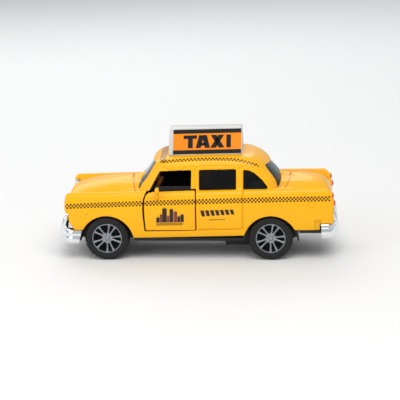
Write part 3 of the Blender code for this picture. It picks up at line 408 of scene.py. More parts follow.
class Finish:
    """A Principled material and short calls for adding nodes to it."""

    def __init__(self, name, colour, roughness=0.5, metallic=0.0, **settings):
        self.material = bpy.data.materials.new(name)
        self.material.use_nodes = True
        self.tree = self.material.node_tree
        self.shader = self.tree.nodes["Principled BSDF"]
        self.shader.inputs["Base Color"].default_value = colour
        self.shader.inputs["Roughness"].default_value = roughness
        self.shader.inputs["Metallic"].default_value = metallic
        for key, value in settings.items():
            self.shader.inputs[key.replace("_", " ")].default_value = value
        self.material.diffuse_color = colour
        self.position = self.node("TexCoord").outputs["Object"]
        self.axes = None

    def node(self, kind):
        return self.tree.nodes.new("ShaderNode" + kind)

    def feed(self, socket, value):
        """Gives a socket a plain value or another node's output."""
        if isinstance(value, bpy.types.NodeSocket):
            self.tree.links.new(value, socket)
        else:
            socket.default_value = value

    def math(self, operation, *values):
        node = self.node("Math")
        node.operation = operation
        for socket, value in zip(node.inputs, values):
            self.feed(socket, value)
        return node.outputs[0]

    def millimetres(self):
        """x, y, z sockets in car millimetres."""
        if self.axes is None:
            split = self.node("SeparateXYZ")
            self.feed(split.inputs[0], self.position)
            x, y, z = (self.math("MULTIPLY", s, 1000.0) for s in split.outputs)
            self.axes = (self.math("SUBTRACT", x, SHIFT), y, z)
        return self.axes

    def noise(self, scale, detail=2.0, stretch=None):
        node = self.node("TexNoise")
        node.inputs["Scale"].default_value = scale
        node.inputs["Detail"].default_value = detail
        source = self.position
        if stretch:
            mapping = self.node("Mapping")
            mapping.inputs["Scale"].default_value = stretch
            self.feed(mapping.inputs["Vector"], source)
            source = mapping.outputs[0]
        self.feed(node.inputs["Vector"], source)
        return node.outputs["Fac"]

    def span(self, value, low, high):
        """Maps 0-1 to low-high."""
        node = self.node("MapRange")
        for index, given in ((0, value), (3, low), (4, high)):
            self.feed(node.inputs[index], given)
        return node.outputs[0]

    def mixed(self, factor, first, second):
        node = self.node("Mix")
        node.data_type = "RGBA"
        for index, given in ((0, factor), (6, first), (7, second)):
            self.feed(node.inputs[index], given)
        return node.outputs[2]

    def set(self, socket, value):
        self.feed(self.shader.inputs[socket], value)
        return self

    def grain(self, scale, strength, distance, detail=3.0, stretch=None):
        """Fine bump."""
        bump = self.node("Bump")
        bump.inputs["Strength"].default_value = strength
        bump.inputs["Distance"].default_value = distance
        self.feed(bump.inputs["Height"], self.noise(scale, detail, stretch))
        return self.set("Normal", bump.outputs[0])

    def mottle(self, scale, amount):
        """Roughness that wanders by amount either side of its value."""
        middle = self.shader.inputs["Roughness"].default_value
        return self.set("Roughness", self.span(self.noise(scale), max(middle - amount, 0.02),
                                               middle + amount))

    def band(self, value, low, high):
        """1 where value lies between low and high."""
        return self.math("MULTIPLY", self.math("GREATER_THAN", value, low),
                         self.math("LESS_THAN", value, high))

    def checks(self, along, up, length, height):
        """1 on alternate squares of a check."""
        columns = self.math("FLOOR", self.math("DIVIDE", along, length))
        rows = self.math("FLOOR", self.math("DIVIDE", up, height))
        odd = self.math("FLOORED_MODULO", self.math("ADD", columns, rows), 2.0)
        return self.math("GREATER_THAN", odd, 0.5)


# printed checks: the squares' length and height, then where each band lies
BELT_CHECK, BELT_BASE, BELT_ENDS = (0.77, 0.74), 25.65, (-62.4, 54.4)
RAIL_CHECK, RAIL_BASE, RAIL_ENDS = (0.8, 0.5), 43.8, (-31.0, 12.4)
BAND_CHECK, BAND_X = 0.6, 9.8
PAINT = linear(250, 187, 6)
PAINT_DEEP = linear(245, 171, 3)
CHECK_INK = linear(34, 4, 2)
# painted shade: darker orange laid into the paint along the bonnet and boot shut lines
SEAM_PAINTED_SHADE = linear(214, 132, 8)


def yellow_paint():
    """Glossy enamel with the printed check bands along the flanks and roof, and painted shade in the
    bonnet and boot shut lines.
    """
    paint = Finish("yellow_paint", PAINT, 0.34, Coat_Weight=0.2, Coat_Roughness=0.08,
                   Specular_IOR_Level=0.22)
    x, y, z = paint.millimetres()
    plus, minus, times = (partial(paint.math, name) for name in ("ADD", "SUBTRACT", "MULTIPLY"))
    above, below, larger = (partial(paint.math, name)
                            for name in ("GREATER_THAN", "LESS_THAN", "MAXIMUM"))
    aside = paint.math("ABSOLUTE", y)
    line = plus(times(x, 0.031), times(times(x, x), 0.0002))
    up = minus(plus(z, line), BELT_BASE)
    belt = times(paint.band(up, 0.0, 3 * BELT_CHECK[1]),
                 times(above(aside, 18.5), paint.band(x, *BELT_ENDS)))
    belt = times(belt, paint.checks(x, up, *BELT_CHECK))
    h = plus(z, times(x, RAKE))
    behind = larger(minus(-18.0, x), 0.0)
    centred = plus(x, 7.0)
    droop = plus(times(times(behind, behind), 0.0125), times(times(centred, centred), 0.0022))
    rise = minus(plus(h, droop), RAIL_BASE)
    rail = times(paint.band(rise, 0.0, 2 * RAIL_CHECK[1]),
                 times(above(aside, 12.0), paint.band(x, *RAIL_ENDS)))
    rail = times(rail, paint.checks(x, rise, *RAIL_CHECK))
    front = times(paint.band(x, BAND_X, BAND_X + 5 * BAND_CHECK), above(h, 43.3))
    front = times(front, paint.checks(x, y, BAND_CHECK, BAND_CHECK))
    colour = paint.mixed(paint.noise(45.0), PAINT, PAINT_DEEP)
    # painted shade: the paint darkens along the bonnet and boot seam grooves, where shadow would fall
    on_top = times(above(h, 29.5), below(aside, SEAM_HALF))
    for station, sweep in (BONNET_SEAM, BOOT_SEAM):
        off = minus(x, plus(times(times(y, y), sweep), station))
        seam = times(paint.band(off, -GROOVE_WIDTH / 2, GROOVE_WIDTH / 2), on_top)
        colour = paint.mixed(seam, colour, SEAM_PAINTED_SHADE)
    paint.set("Base Color", paint.mixed(larger(larger(belt, rail), front), colour, CHECK_INK))
    paint.mottle(160.0, 0.05)
    return paint.grain(700.0, 0.06, 0.0002)


def plastic(name, colour, roughness, scale=2600.0, strength=0.25, **settings):
    """Moulded plastic with a fine grained skin."""
    skin = Finish(name, colour, roughness, **settings)
    darker = tuple(c * 0.78 for c in colour[:3]) + (1.0,)
    skin.set("Base Color", skin.mixed(skin.noise(90.0, 4.0), colour, darker))
    return skin.mottle(220.0, 0.08).grain(scale, strength, 0.0001)


def metal(name, colour, roughness, scale=1800.0, stretch=None):
    """Plated or turned metal with a little wear in its roughness."""
    return Finish(name, colour, roughness, 1.0).mottle(260.0, 0.05).grain(scale, 0.08, 0.0001,
                                                                         stretch=stretch)


def clear(name, colour, roughness=0.04, ior=1.45):
    """Clear or tinted moulding, slightly rippled."""
    part = Finish(name, colour, roughness, Transmission_Weight=1.0, IOR=ior)
    return part.mottle(120.0, 0.02).grain(260.0, 0.05, 0.0002)


def rubber():
    """Tyre rubber with a dusty mottle."""
    tyre = Finish("tyre_rubber", linear(20, 20, 22), 0.62, Specular_IOR_Level=0.35)
    tyre.set("Base Color", tyre.mixed(tyre.noise(300.0, 6.0), linear(12, 12, 14), linear(30, 30, 32)))
    return tyre.mottle(180.0, 0.1).grain(3000.0, 0.35, 0.0001)


def slot_of(material):
    """A material's plain name, as the CAD gives it."""
    return material.name.split(".")[0]


YELLOW = yellow_paint()
CHROME = metal("bright_chrome", linear(232, 236, 238), 0.12)
ALLOY = metal("alloy_look", linear(158, 163, 170), 0.36)
STEEL = metal("steel", linear(170, 172, 176), 0.28, stretch=(1.0, 30.0, 1.0))
BLACK = plastic("black_plastic", linear(22, 22, 24), 0.5)
# painted shade: a darker, rougher copy of black_plastic, used in recesses and for backs behind spokes,
# grille, guards and cabin windows
BLACK_PAINTED_SHADE = plastic("black_painted_shade", linear(12, 12, 13), 0.75)
OCHRE = plastic("ochre_plastic", linear(186, 92, 10), 0.48)
NYLON = plastic("nylon", linear(226, 222, 210), 0.42, Subsurface_Weight=0.15)
WHITE = plastic("white_plastic", linear(214, 210, 204), 0.4, Subsurface_Weight=0.1)
RUBBER = rubber()
GLASS = clear("clear_glazing", linear(112, 122, 122), 0.05, 1.3)
LENS = clear("clear_lens", linear(246, 248, 250))
RED = Finish("red_lens", linear(235, 34, 14), 0.14, Transmission_Weight=0.25, IOR=1.5,
             Coat_Weight=0.6).grain(900.0, 0.12, 0.0001)
ORANGE = plastic("sign_print", linear(250, 140, 2), 0.5, 1500.0, 0.08, Specular_IOR_Level=0.2)
INK = plastic("print_ink", linear(44, 14, 8), 0.5, 1200.0, 0.1)
RUST_INK = plastic("print_ink_brown", linear(132, 62, 22), 0.5, 1200.0, 0.1)
BLACK_INK = plastic("sign_ink", linear(10, 10, 8), 0.5, 1200.0, 0.1, Specular_IOR_Level=0.2)
SLOTS = {slot_of(finish.material): finish for finish in
         (YELLOW, CHROME, ALLOY, STEEL, BLACK, OCHRE, NYLON, WHITE, RUBBER, GLASS, LENS, RED, ORANGE)}


# ---------------- mesh pieces
class Shape:
    """Collects faces in car millimetres; finished() makes the object."""

    def __init__(self, *finishes):
        self.mesh = bmesh.new()
        self.finishes = finishes
        self.index = 0

    def use(self, finish):
        self.index = self.finishes.index(finish)
        return self

    def rows(self, rows, around=True, ends=True, closed=False):
        """Skin over rows of points; around joins each row, closed joins last to first."""
        made = [[self.mesh.verts.new(p) for p in row] for row in rows]
        count = len(made[0])
        pairs = list(zip(made, made[1:] + made[:1])) if closed else list(zip(made, made[1:]))
        for low, high in pairs:
            for i in range(count if around else count - 1):
                j = (i + 1) % count
                self.face((low[i], low[j], high[j], high[i]))
        if ends and not closed:
            self.face(made[0][::-1])
            self.face(made[-1])
        return self

    def face(self, verts):
        face = self.mesh.faces.new(verts)
        face.material_index = self.index
        face.smooth = True

    def block(self, low, high, bevel, turn=None):
        """Box between two corners, with bevelled edges; turn is a matrix."""
        low, high = Vector(low), Vector(high)
        fit = Matrix.Translation((low + high) / 2) @ Matrix.Diagonal((high - low).to_4d())
        part = bmesh.new()
        bmesh.ops.create_cube(part, size=1.0, matrix=fit)
        bmesh.ops.bevel(part, geom=part.edges[:], offset=bevel, segments=2, profile=0.5,
                        affect="EDGES", clamp_overlap=True)
        if turn:
            bmesh.ops.transform(part, matrix=turn, verts=part.verts)
        return self.merge(part)

    def merge(self, part):
        lookup = {v: self.mesh.verts.new(v.co) for v in part.verts}
        for face in part.faces:
            self.face([lookup[v] for v in face.verts])
        part.free()
        return self

    def lathe(self, profile, centre, axis="Y", segments=48, wobble=None):
        """Turns (radius, along) points about an axis through centre."""
        unit = Matrix.Identity(3)
        index = "XYZ".index(axis)
        first, second, along = unit[index - 2], unit[index - 1], unit[index]
        rows = []
        for step, angle in enumerate(turns(segments)):
            out = first * math.cos(angle) + second * math.sin(angle)
            rows.append([Vector(centre) + out * (wobble(r, a, step) if wobble else r) + along * a
                         for r, a in profile])
        closed_profile = profile[0] == profile[-1]
        if closed_profile:
            rows = [row[:-1] for row in rows]
        return self.rows(rows, around=closed_profile, closed=True)

    def dome(self, centre, radius, height, axis="X", way=1, segments=40, rings=8):
        """Shallow lens with its flat side at centre."""
        profile = [(radius * math.cos(a), way * height * math.sin(a))
                   for a in (math.pi / 2 * i / rings for i in range(rings + 1))]
        return self.lathe([(0.0, 0.0)] + profile, centre, axis, segments)

    def finished(self, name, body, slot, *nodes, sharp=35.0, mirror=False):
        """The piece as an object riding on a body and standing for its CAD nodes."""
        bmesh.ops.remove_doubles(self.mesh, verts=self.mesh.verts, dist=0.004)
        if mirror:
            bmesh.ops.scale(self.mesh, vec=(1, -1, 1), verts=self.mesh.verts)
        bmesh.ops.recalc_face_normals(self.mesh, faces=self.mesh.faces)
        mesh = bpy.data.meshes.new(name)
        self.mesh.to_mesh(mesh)
        self.mesh.free()
        mesh.transform(Matrix.Scale(MM, 4) @ Matrix.Translation((SHIFT, 0, 0)))
        for finish in self.finishes:
            mesh.materials.append(finish.material)
        mesh.set_sharp_from_angle(angle=math.radians(sharp))
        placed(linked(name, mesh), body, slot, *nodes)


def placed(obj, body, slot, *nodes):
    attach(obj, body)
    if nodes:
        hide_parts(*nodes)


def both_sides(build):
    """Runs a builder for the left side and for the right."""
    for side in ("left", "right"):
        build(side, side == "right")


# ---------------- body, doors, glazing
def body_pieces():
    """Body casting and glazing as whole surfaces, the doors as one and its mirror image."""
    fields = Fields((-66.0, 57.0), (0.0, 25.2), (9.0, 48.0), VOXEL)
    for name, field, adaptivity, slot, node in (
            ("body_shell_cast", fields.shell(), 0.12, "yellow_paint", "body_shell"),
            ("glazing_moulding", fields.glass(), 0.3, "clear_glazing", "glazing")):
        placed(surface(name, fields, field, adaptivity, SLOTS[slot], True), "car", slot, node)
    fields = Fields((-4.5, 21.5), (16.5, 25.2), (12.5, 32.5), VOXEL * 0.7)
    door = surface("left_door_cast", fields, fields.door(), 0.12, YELLOW)
    mesh = door.data.copy()
    mesh.name = "right_door_cast"
    mesh.transform(Matrix.Scale(-1, 4, (0, 1, 0)))
    mesh.flip_normals()
    for side, obj in (("left", door), ("right", linked("right_door_cast", mesh))):
        placed(obj, side + "_door_body", "yellow_paint", side + "_door")


def on_flank(x, h):
    """Point just off the painted flank at a body height."""
    return (x, float(side_half_width(x, np.float64(h))) + PRINT_LIFT, h - RAKE * x)


def flank_patch(shape, corners, steps=6):
    """Quad with (x, h) corners laid on the flank."""
    a, b, c, d = (Vector(corner) for corner in corners)
    parts = [i / steps for i in range(steps + 1)]
    rows = [[on_flank(*a.lerp(d, t).lerp(b.lerp(c, t), s)) for s in parts] for t in parts]
    shape.rows(rows, around=False, ends=False)


PRINT_LIFT = 0.05
SKYLINE_BASE_H = 17.9
# towers of the printed skyline: forward edge, rear edge, roof and whether it is brown
SKYLINE = ((14.1, 12.6, 20.2, False), (12.5, 11.4, 21.5, True), (11.4, 9.4, 24.2, False),
           (9.3, 8.3, 20.8, True), (8.2, 6.6, 23.8, False), (6.4, 4.8, 22.7, True),
           (4.7, 3.5, 20.5, False), (3.4, 1.9, 21.3, False))
SKYLINE_CHECK = 0.42


def door_prints(side, mirror):
    """Skyline silhouette standing on a row of small checks."""
    ink = Shape(INK, RUST_INK)
    for front, rear, roof, brown in SKYLINE:
        ink.use(RUST_INK if brown else INK)
        peak = (front + rear) / 2
        flank_patch(ink, ((front, SKYLINE_BASE_H), (rear, SKYLINE_BASE_H), (rear, roof), (front, roof)))
        ink.use(INK)
        flank_patch(ink, ((peak + 0.15, roof), (peak - 0.15, roof), (peak - 0.05, roof + 0.5),
                          (peak + 0.05, roof + 0.5)), 2)
    for row in range(3):
        for column in range(row % 2, 28, 2):
            x = SKYLINE[0][0] - column * SKYLINE_CHECK
            h = SKYLINE_BASE_H - 0.2 - row * SKYLINE_CHECK
            rear, low = x - SKYLINE_CHECK, h - SKYLINE_CHECK
            flank_patch(ink, ((x, low), (rear, low), (rear, h), (x, h)), 1)
    ink.finished(side + "_door_skyline", side + "_door_body", "sign_print", mirror=mirror)


def rear_door_prints(side, mirror):
    """Slanted bars over a thin line, in place of lettering."""
    ink = Shape(INK, RUST_INK)
    for i in range(7):
        x = -5.2 - 2.15 * i
        top = 22.95 + 0.02 * i
        flank_patch(ink, ((x - 0.9, top - 2.7 + 0.08 * i), (x - 2.3, top - 2.7 + 0.08 * i),
                          (x - 1.7, top), (x - 0.1, top)), 3)
    ink.use(RUST_INK)
    for i in range(9):
        x = -9.4 - 0.78 * i
        flank_patch(ink, ((x, 18.4), (x - 0.5, 18.4), (x - 0.5, 18.9), (x, 18.9)), 1)
    ink.finished(side + "_rear_door_print", "car", "sign_print", mirror=mirror)


# ---------------- wheels
TYRE_RADIUS = 9.9
RIM_RADIUS = 6.75
WHEEL_INNER, WHEEL_OUTER = 15.2, 22.0
SPOKE_PAIRS = 5
SPOKE_TURN = math.radians(-23.0)    # how far the wheels have rolled from a pair standing upright
SPOKE_SPREAD = math.radians(13.5)
NUT_CIRCLE = 1.75
# along a spoke: radius, half width, and how far out its face and back lie
SPOKE_SECTIONS = ((1.4, 0.44, 20.7, 19.2), (2.4, 0.34, 20.8, 19.3), (4.1, 0.33, 21.1, 19.8),
                  (5.5, 0.42, 21.3, 20.1), (6.1, 0.6, 21.35, 20.2))


def tyre_piece(name, body, centre_x, mirror, node):
    """Low-profile tyre with shoulder blocks, tread grooves and a sidewall ring."""
    inner, outer, tread = WHEEL_INNER, WHEEL_OUTER, TYRE_RADIUS
    side = [(6.6, -0.3), (6.95, 0.0), (8.1, 0.12), (8.35, 0.12), (8.42, 0.0), (8.75, -0.02),
            (9.25, -0.3), (9.62, -0.7), (9.84, -1.25), (tread, -1.5)]
    grooves = [(tread, -2.2), (tread - 0.4, -2.25), (tread - 0.4, -2.55), (tread, -2.6),
               (tread, -3.25), (tread - 0.4, -3.3)]
    half = side + grooves
    profile = [(r, outer + a) for r, a in half] + [(r, inner - a) for r, a in reversed(half)]
    profile += [(6.5, inner + 0.6), (6.5, outer - 0.6), profile[0]]

    def blocks(radius, along, step):
        depth = abs(along - (inner + outer) / 2)
        shoulder = 1.5 < depth < 2.75 and radius > 9.4
        middle = depth < 1.0 and radius > 9.7
        if (shoulder and step % 4 == 0) or (middle and (step + 2) % 4 == 0):
            return radius - 0.35
        return radius

    shape = Shape(RUBBER).lathe(profile, (centre_x, 0, AXLE_Z), "Y", 112, blocks)
    shape.finished(name, body, "tyre_rubber", node, mirror=mirror, sharp=28.0)


def spoke(shape, centre_x, angle):
    """One slim spoke, standing proud at the lip and dipping towards the hub."""
    bevel = 0.14
    rows = []
    for r, half, face, back in SPOKE_SECTIONS:
        edge, low = half - bevel, face - bevel
        rows.append([(-half, back, r), (half, back, r), (half, low, r), (edge, face, r),
                     (-edge, face, r), (-half, low, r)])
    turn = Matrix.Translation((centre_x, 0, AXLE_Z)) @ Matrix.Rotation(angle, 4, "Y")
    shape.rows([[turn @ Vector(p) for p in row] for row in rows])


def rim_piece(name, body, centre_x, mirror, node):
    """Alloy-look wheel: polished lip, five pairs of spokes, nuts and a centre cap, over a painted-shade
    black back disc and nut seats.
    """
    shape = Shape(ALLOY, BLACK_PAINTED_SHADE, CHROME)
    centre = (centre_x, 0, AXLE_Z)
    lip = [(RIM_RADIUS - inset, along) for inset, along in
           ((0.1, 16.0), (0.0, 21.2), (0.08, 21.6), (0.25, 21.72), (0.5, 21.7), (0.62, 21.45),
            (0.75, 20.6), (0.9, 17.2), (0.5, 16.0))]
    shape.use(ALLOY).lathe(lip + lip[:1], centre, "Y", 96)
    # painted shade: the back disc behind the spokes is in the darkened black
    back = [(0.0, 17.0), (5.95, 17.0), (5.95, 17.8), (3.4, 18.0), (3.2, 18.3), (0.0, 18.3)]
    shape.use(BLACK_PAINTED_SHADE).lathe(back, centre, "Y", 64)
    hub = [(2.5, 17.8), (2.5, 20.3), (2.3, 20.75), (1.1, 20.85), (0.95, 21.1), (0.8, 21.25),
           (0.0, 21.35), (0.0, 17.8)]
    shape.use(ALLOY).lathe(hub + hub[:1], centre, "Y", 64)
    for turn in turns(SPOKE_PAIRS):
        for way in (-1, 1):
            spoke(shape, centre_x, SPOKE_TURN + turn + way * SPOKE_SPREAD)
        nut = SPOKE_TURN + turn + math.pi / SPOKE_PAIRS
        spot = (centre_x + NUT_CIRCLE * math.sin(nut), 20.6, AXLE_Z + NUT_CIRCLE * math.cos(nut))
        # painted shade: a darkened black seat ring under each nut
        shape.use(BLACK_PAINTED_SHADE).lathe([(0.42, 0.0), (0.42, 0.2), (0.0, 0.2)], spot, "Y", 20).use(ALLOY)
        shape.lathe([(0.28, 0.0), (0.28, 0.42), (0.2, 0.5), (0.0, 0.5)], spot, "Y", 6)
    shape.finished(name, body, "alloy_look", node, mirror=mirror)


def wheels():
    """A tyre and a rim at each corner."""
    for end, x in (("front", AXLE_X), ("rear", -AXLE_X)):
        for side, mirror in (("left", False), ("right", True)):
            wheel, body = end + "_" + side, end + "_wheels"
            tyre_piece(wheel + "_tyre_moulding", body, x, mirror, wheel + "_tyre")
            rim_piece(wheel + "_spoked_rim", body, x, mirror, wheel + "_rim")


# ---------------- bright trim
GUARD_Y = 12.2


def bumper_path(end_x, tip_x, half_width, steps=56):
    """Plan of a wrap-round bumper as (x, y) points with outward directions."""
    squareness = 0.36
    angle = math.pi * (np.arange(steps + 1) / steps - 0.5)
    x = end_x + (tip_x - end_x) * np.maximum(np.cos(angle), 0.0) ** squareness
    y = half_width * np.sin(angle)
    dx, dy = np.gradient(x), np.gradient(y)
    length = np.hypot(dx, dy) * math.copysign(1.0, tip_x - end_x)
    return zip(x, y, dy / length, -dx / length)


def bumper_piece(end_x, tip_x, low, high, split, trim, guard_low, guard_high):
    """Two-tier chrome blade that wraps round, its ends cut back, with two upright guards.

    end_x and tip_x are the stations of its ends and its middle, split is how far down
    the crease lies, and trim is how much its lower edge is cut back at the ends.
    """
    way = 1.0 if tip_x > end_x else -1.0
    tall = high - low
    lean = 0.38 * (guard_high - high)
    crease = high - split * tall
    blade = [(-1.5, high - 0.25), (-1.2, high), (-0.6, high - 0.1 * split * tall),
             (-0.2, high - 0.4 * split * tall), (-0.1, high - 0.75 * split * tall),
             (-0.3, crease + 0.15), (-0.62, crease), (-0.2, crease - 0.2), (0.1, crease - 0.8),
             (0.12, low + 0.24 * tall), (-0.05, low + 0.12 * tall), (-0.7, low), (-1.3, low + 0.2)]
    shape = Shape(CHROME, BLACK_PAINTED_SHADE)
    rows = []
    for x, y, out_x, out_y in bumper_path(end_x, tip_x, 22.6):
        cut_back = trim * max(0.0, 1.0 - abs(x - end_x) / 5.0)
        rows.append([(x + out_x * d + way * cut_back * (high - z), y + out_y * d, z) for d, z in blade])
    shape.rows(rows)
    for side in (-1, 1):
        rows = []
        for i in range(17):
            t = i / 16
            swell = math.sqrt(max(1.0 - (2 * t - 1) ** 6, 0.02))
            half, deep = 1.35 * swell * (1.0 - 0.25 * t), 1.9 * swell * (1.0 - 0.3 * t)
            face = tip_x - way * (0.8 + lean * t * t)
            z = guard_low + (guard_high - guard_low) * t
            rows.append([(face + way * deep * math.cos(a), side * GUARD_Y + half * math.sin(a), z)
                         for a in turns(20)])
        shape.rows(rows)
    return shape


def bumpers():
    """Front and rear bumpers, with black brackets behind their guards, darkened as painted shade."""
    front = bumper_piece(47.3, 57.4, 7.7, 13.8, 0.48, 0.25, 7.5, 18.4)
    rear = bumper_piece(-58.4, -65.7, 10.2, 16.5, 0.3, 0.05, 10.2, 22.8)
    # painted shade: the brackets behind the guards use the darkened black
    for shape, inner, outer, z in ((front, 51.6, 55.5, 9.2), (rear, -63.6, -59.6, 12.0)):
        for side in (-1, 1):
            y = side * GUARD_Y
            shape.use(BLACK_PAINTED_SHADE).block((inner, y - 1.5, z), (outer, y + 1.5, z + 2.8), 0.3)
    front.finished("front_bumper_chrome", "car", "bright_chrome", "front_bumper")
    rear.finished("rear_bumper_chrome", "car", "bright_chrome", "rear_bumper")


def headlamp(side, mirror):
    """Round lamp: chrome bowl and ring with a fluted clear lens."""
    centre = (LAMP_FACE_X, HEADLAMP_Y, HEADLAMP_Z)
    shape = Shape(CHROME, LENS, WHITE)
    ring = [(1.8, -0.3), (1.8, 0.35), (1.9, 0.55), (2.05, 0.58), (2.15, 0.35), (2.16, -0.9),
            (1.9, -0.9)]
    shape.lathe(ring + ring[:1], centre, "X", 56)
    bowl = [(0.0, -0.75), (0.9, -0.6), (1.5, -0.3), (1.85, 0.1), (1.85, -0.9), (0.0, -0.9)]
    shape.lathe(bowl + bowl[:1], centre, "X", 48)
    shape.use(WHITE).lathe([(0.35, -0.7), (0.35, -0.1), (0.0, 0.15)], centre, "X", 20)
    lens = [(0.0, 0.25), (1.7, 0.1), (1.8, 0.3), (1.5, 0.75), (1.0, 1.02), (0.5, 1.14), (0.0, 1.18)]
    shape.use(LENS).lathe(lens, centre, "X", 48)
    shape.finished("headlamp_" + side + "_unit", "car", "clear_lens", "headlamp_" + side, mirror=mirror)


def tail_lamp(side, mirror):
    """Two red domes, each with a raised centre, on collars that fade into the paint."""
    shape = Shape(RED, YELLOW)
    for z in TAIL_LAMP_Z:
        seat_x = float(tail_face(z + RAKE * TAIL_X)) + 0.6
        spot, dome, middle = ((seat_x - out, TAIL_LAMP_Y, z) for out in (0.0, 0.45, 1.3))
        collar = [(1.5, 0.6), (1.5, -0.55), (1.62, -0.65), (1.78, -0.5), (1.85, 0.6)]
        shape.use(YELLOW).lathe(collar + collar[:1], spot, "X", 40)
        shape.use(RED).dome(dome, 1.55, 0.9, "X", -1)
        shape.lathe([(0.6, 0.3), (0.55, -0.1), (0.3, -0.16), (0.0, -0.18)], middle, "X", 24)
    shape.finished("tail_lamp_" + side + "_unit", "car", "red_lens", "tail_lamp_" + side, mirror=mirror)


def grille():
    """Egg-crate grille: bright bars over a black back, darkened as painted shade."""
    low, high, half, frame_width = 16.1, 23.1, 11.2, 0.7
    shape = Shape(CHROME, BLACK_PAINTED_SHADE)
    # painted shade: the back plate behind the bars uses the darkened black
    shape.use(BLACK_PAINTED_SHADE).block((51.2, -half, low), (51.8, half, high), 0.1)
    shape.use(CHROME)
    for z in (low, high - frame_width):
        shape.block((51.4, -half, z), (54.0, half, z + frame_width), 0.22)
    for y in (-half, half - frame_width):
        shape.block((51.4, y, low), (54.0, y + frame_width, high), 0.22)
    for i in range(4):
        z = low + 1.75 + 1.17 * i
        shape.block((51.6, -half + 0.3, z - 0.16), (53.7, half - 0.3, z + 0.16), 0.1)
    columns, inside = 17, half - frame_width
    for i in range(columns):
        y = inside * ((2 * i + 1) / columns - 1)
        shape.block((51.6, y - 0.14, low + 0.3), (53.5, y + 0.14, high - 0.3), 0.08)
    shape.finished("front_grille_crate", "car", "bright_chrome", "front_grille")


def mirror_piece(side, mirror):
    """Round mirror head with its glass, on a curved stalk and foot."""
    shape = Shape(YELLOW, CHROME)
    head = [(0.0, 1.0), (0.7, 0.95), (1.25, 0.6), (1.5, 0.1), (1.55, -0.5), (1.42, -0.7), (1.3, -0.6),
            (1.3, -0.5)]
    centre = (13.5, 23.6, 32.0)
    shape.lathe(head, centre, "X", 40)
    shape.use(CHROME).lathe([(1.32, -0.5), (1.3, -0.58), (0.0, -0.62)], centre, "X", 40)
    shape.use(YELLOW)
    rows = []
    route = ((21.3, 28.6, 0.7), (22.6, 28.5, 0.68), (23.3, 28.8, 0.66), (23.62, 29.5, 0.6),
             (23.62, 30.6, 0.55), (23.6, 31.4, 0.6))
    for i, (y, z, r) in enumerate(route):
        y0, z0, _ = route[max(i - 1, 0)]
        y1, z1, _ = route[min(i + 1, len(route) - 1)]
        ahead = Vector((1, 0, 0))
        up = ahead.cross(Vector((0, y1 - y0, z1 - z0)).normalized())
        rows.append([Vector((13.6, y, z)) + ahead * r * math.cos(a) + up * r * math.sin(a)
                     for a in turns(16)])
    shape.rows(rows)
    shape.finished(side + "_mirror_round", side + "_door_body", "yellow_paint", side + "_mirror",
                   mirror=mirror)


# ---------------- roof sign
SIGN_X = -7.3
SIGN_FOOT = 45.2 - RAKE * SIGN_X
SIGN_HEIGHT = 10.8
SIGN_HALF_BASE, SIGN_HALF_TOP = 10.6, 4.0
SIGN_LEAN = (SIGN_HALF_BASE - SIGN_HALF_TOP) / SIGN_HEIGHT
SIGN_HALF_LENGTH = 16.4
PANEL_REAR, PANEL_FRONT = -23.15, 7.15
PANEL_LOW, PANEL_HIGH = 0.45, 10.35
LETTER_BASE, LETTER_TOP = 2.85, 7.95
# each stroke of the word: its foot along and up the panel, its head, and its width
STROKES = ((7.6, LETTER_TOP - 1.35, 7.6, LETTER_TOP, 5.9),
           (7.7, LETTER_BASE, 7.7, LETTER_TOP - 1.3, 2.1),
           (11.2, LETTER_BASE, 12.6, LETTER_TOP, 2.2), (15.3, LETTER_BASE, 13.9, LETTER_TOP, 2.2),
           (13.25, LETTER_BASE + 0.9, 13.25, LETTER_BASE + 2.0, 2.6),
           (17.8, LETTER_BASE, 21.4, LETTER_TOP, 2.5), (21.6, LETTER_BASE, 18.0, LETTER_TOP, 2.5),
           (24.7, LETTER_BASE, 24.7, LETTER_TOP, 2.0))


def sign_z(x, up):
    """Height above ground of a point up from the sign's foot, which follows the rake."""
    return SIGN_FOOT + up - RAKE * (x - SIGN_X)


def on_sign(x, up, lift):
    """Point on the sign's left face."""
    return (x, SIGN_HALF_BASE - SIGN_LEAN * up + lift, sign_z(x, up))


def sign_case():
    """White wedge-shaped lamp box with rounded edges, hollow underneath, on two pegs."""
    shape = Shape(WHITE)
    corner = 0.7
    rows = []
    for up, inset in ((1.0, 0.9), (0.0, 0.9), (0.0, 0.3), (0.12, 0.08), (0.35, 0.0), (10.4, 0.0),
                      (10.68, 0.12), (10.8, 0.4)):
        half_x = SIGN_HALF_LENGTH - 0.3 * up / SIGN_HEIGHT - inset
        half_y = SIGN_HALF_BASE - SIGN_LEAN * up - inset
        ring = []
        for sx, sy, start in ((1, 1, 0), (-1, 1, 90), (-1, -1, 180), (1, -1, 270)):
            for k in range(5):
                a = math.radians(start + 22.5 * k)
                x = SIGN_X + sx * (half_x - corner) + corner * math.cos(a)
                ring.append((x, sy * (half_y - corner) + corner * math.sin(a), sign_z(x, up)))
        rows.append(ring)
    shape.rows(rows)
    for side in (-1, 1):
        shape.lathe([(1.0, -2.6), (1.0, 1.1)], (SIGN_X + side * 11.0, 0, SIGN_FOOT), "Z", 24)
    shape.finished("sign_lamp_box", "car", "white_plastic", "sign_case", sharp=40.0)


def slab(shape, corners, lift, depth=0.1):
    """Flat slab on the sign's face from (x, up) corners."""
    shape.rows([[on_sign(x, up, lift - depth) for x, up in corners],
                [on_sign(x, up, lift) for x, up in corners]])


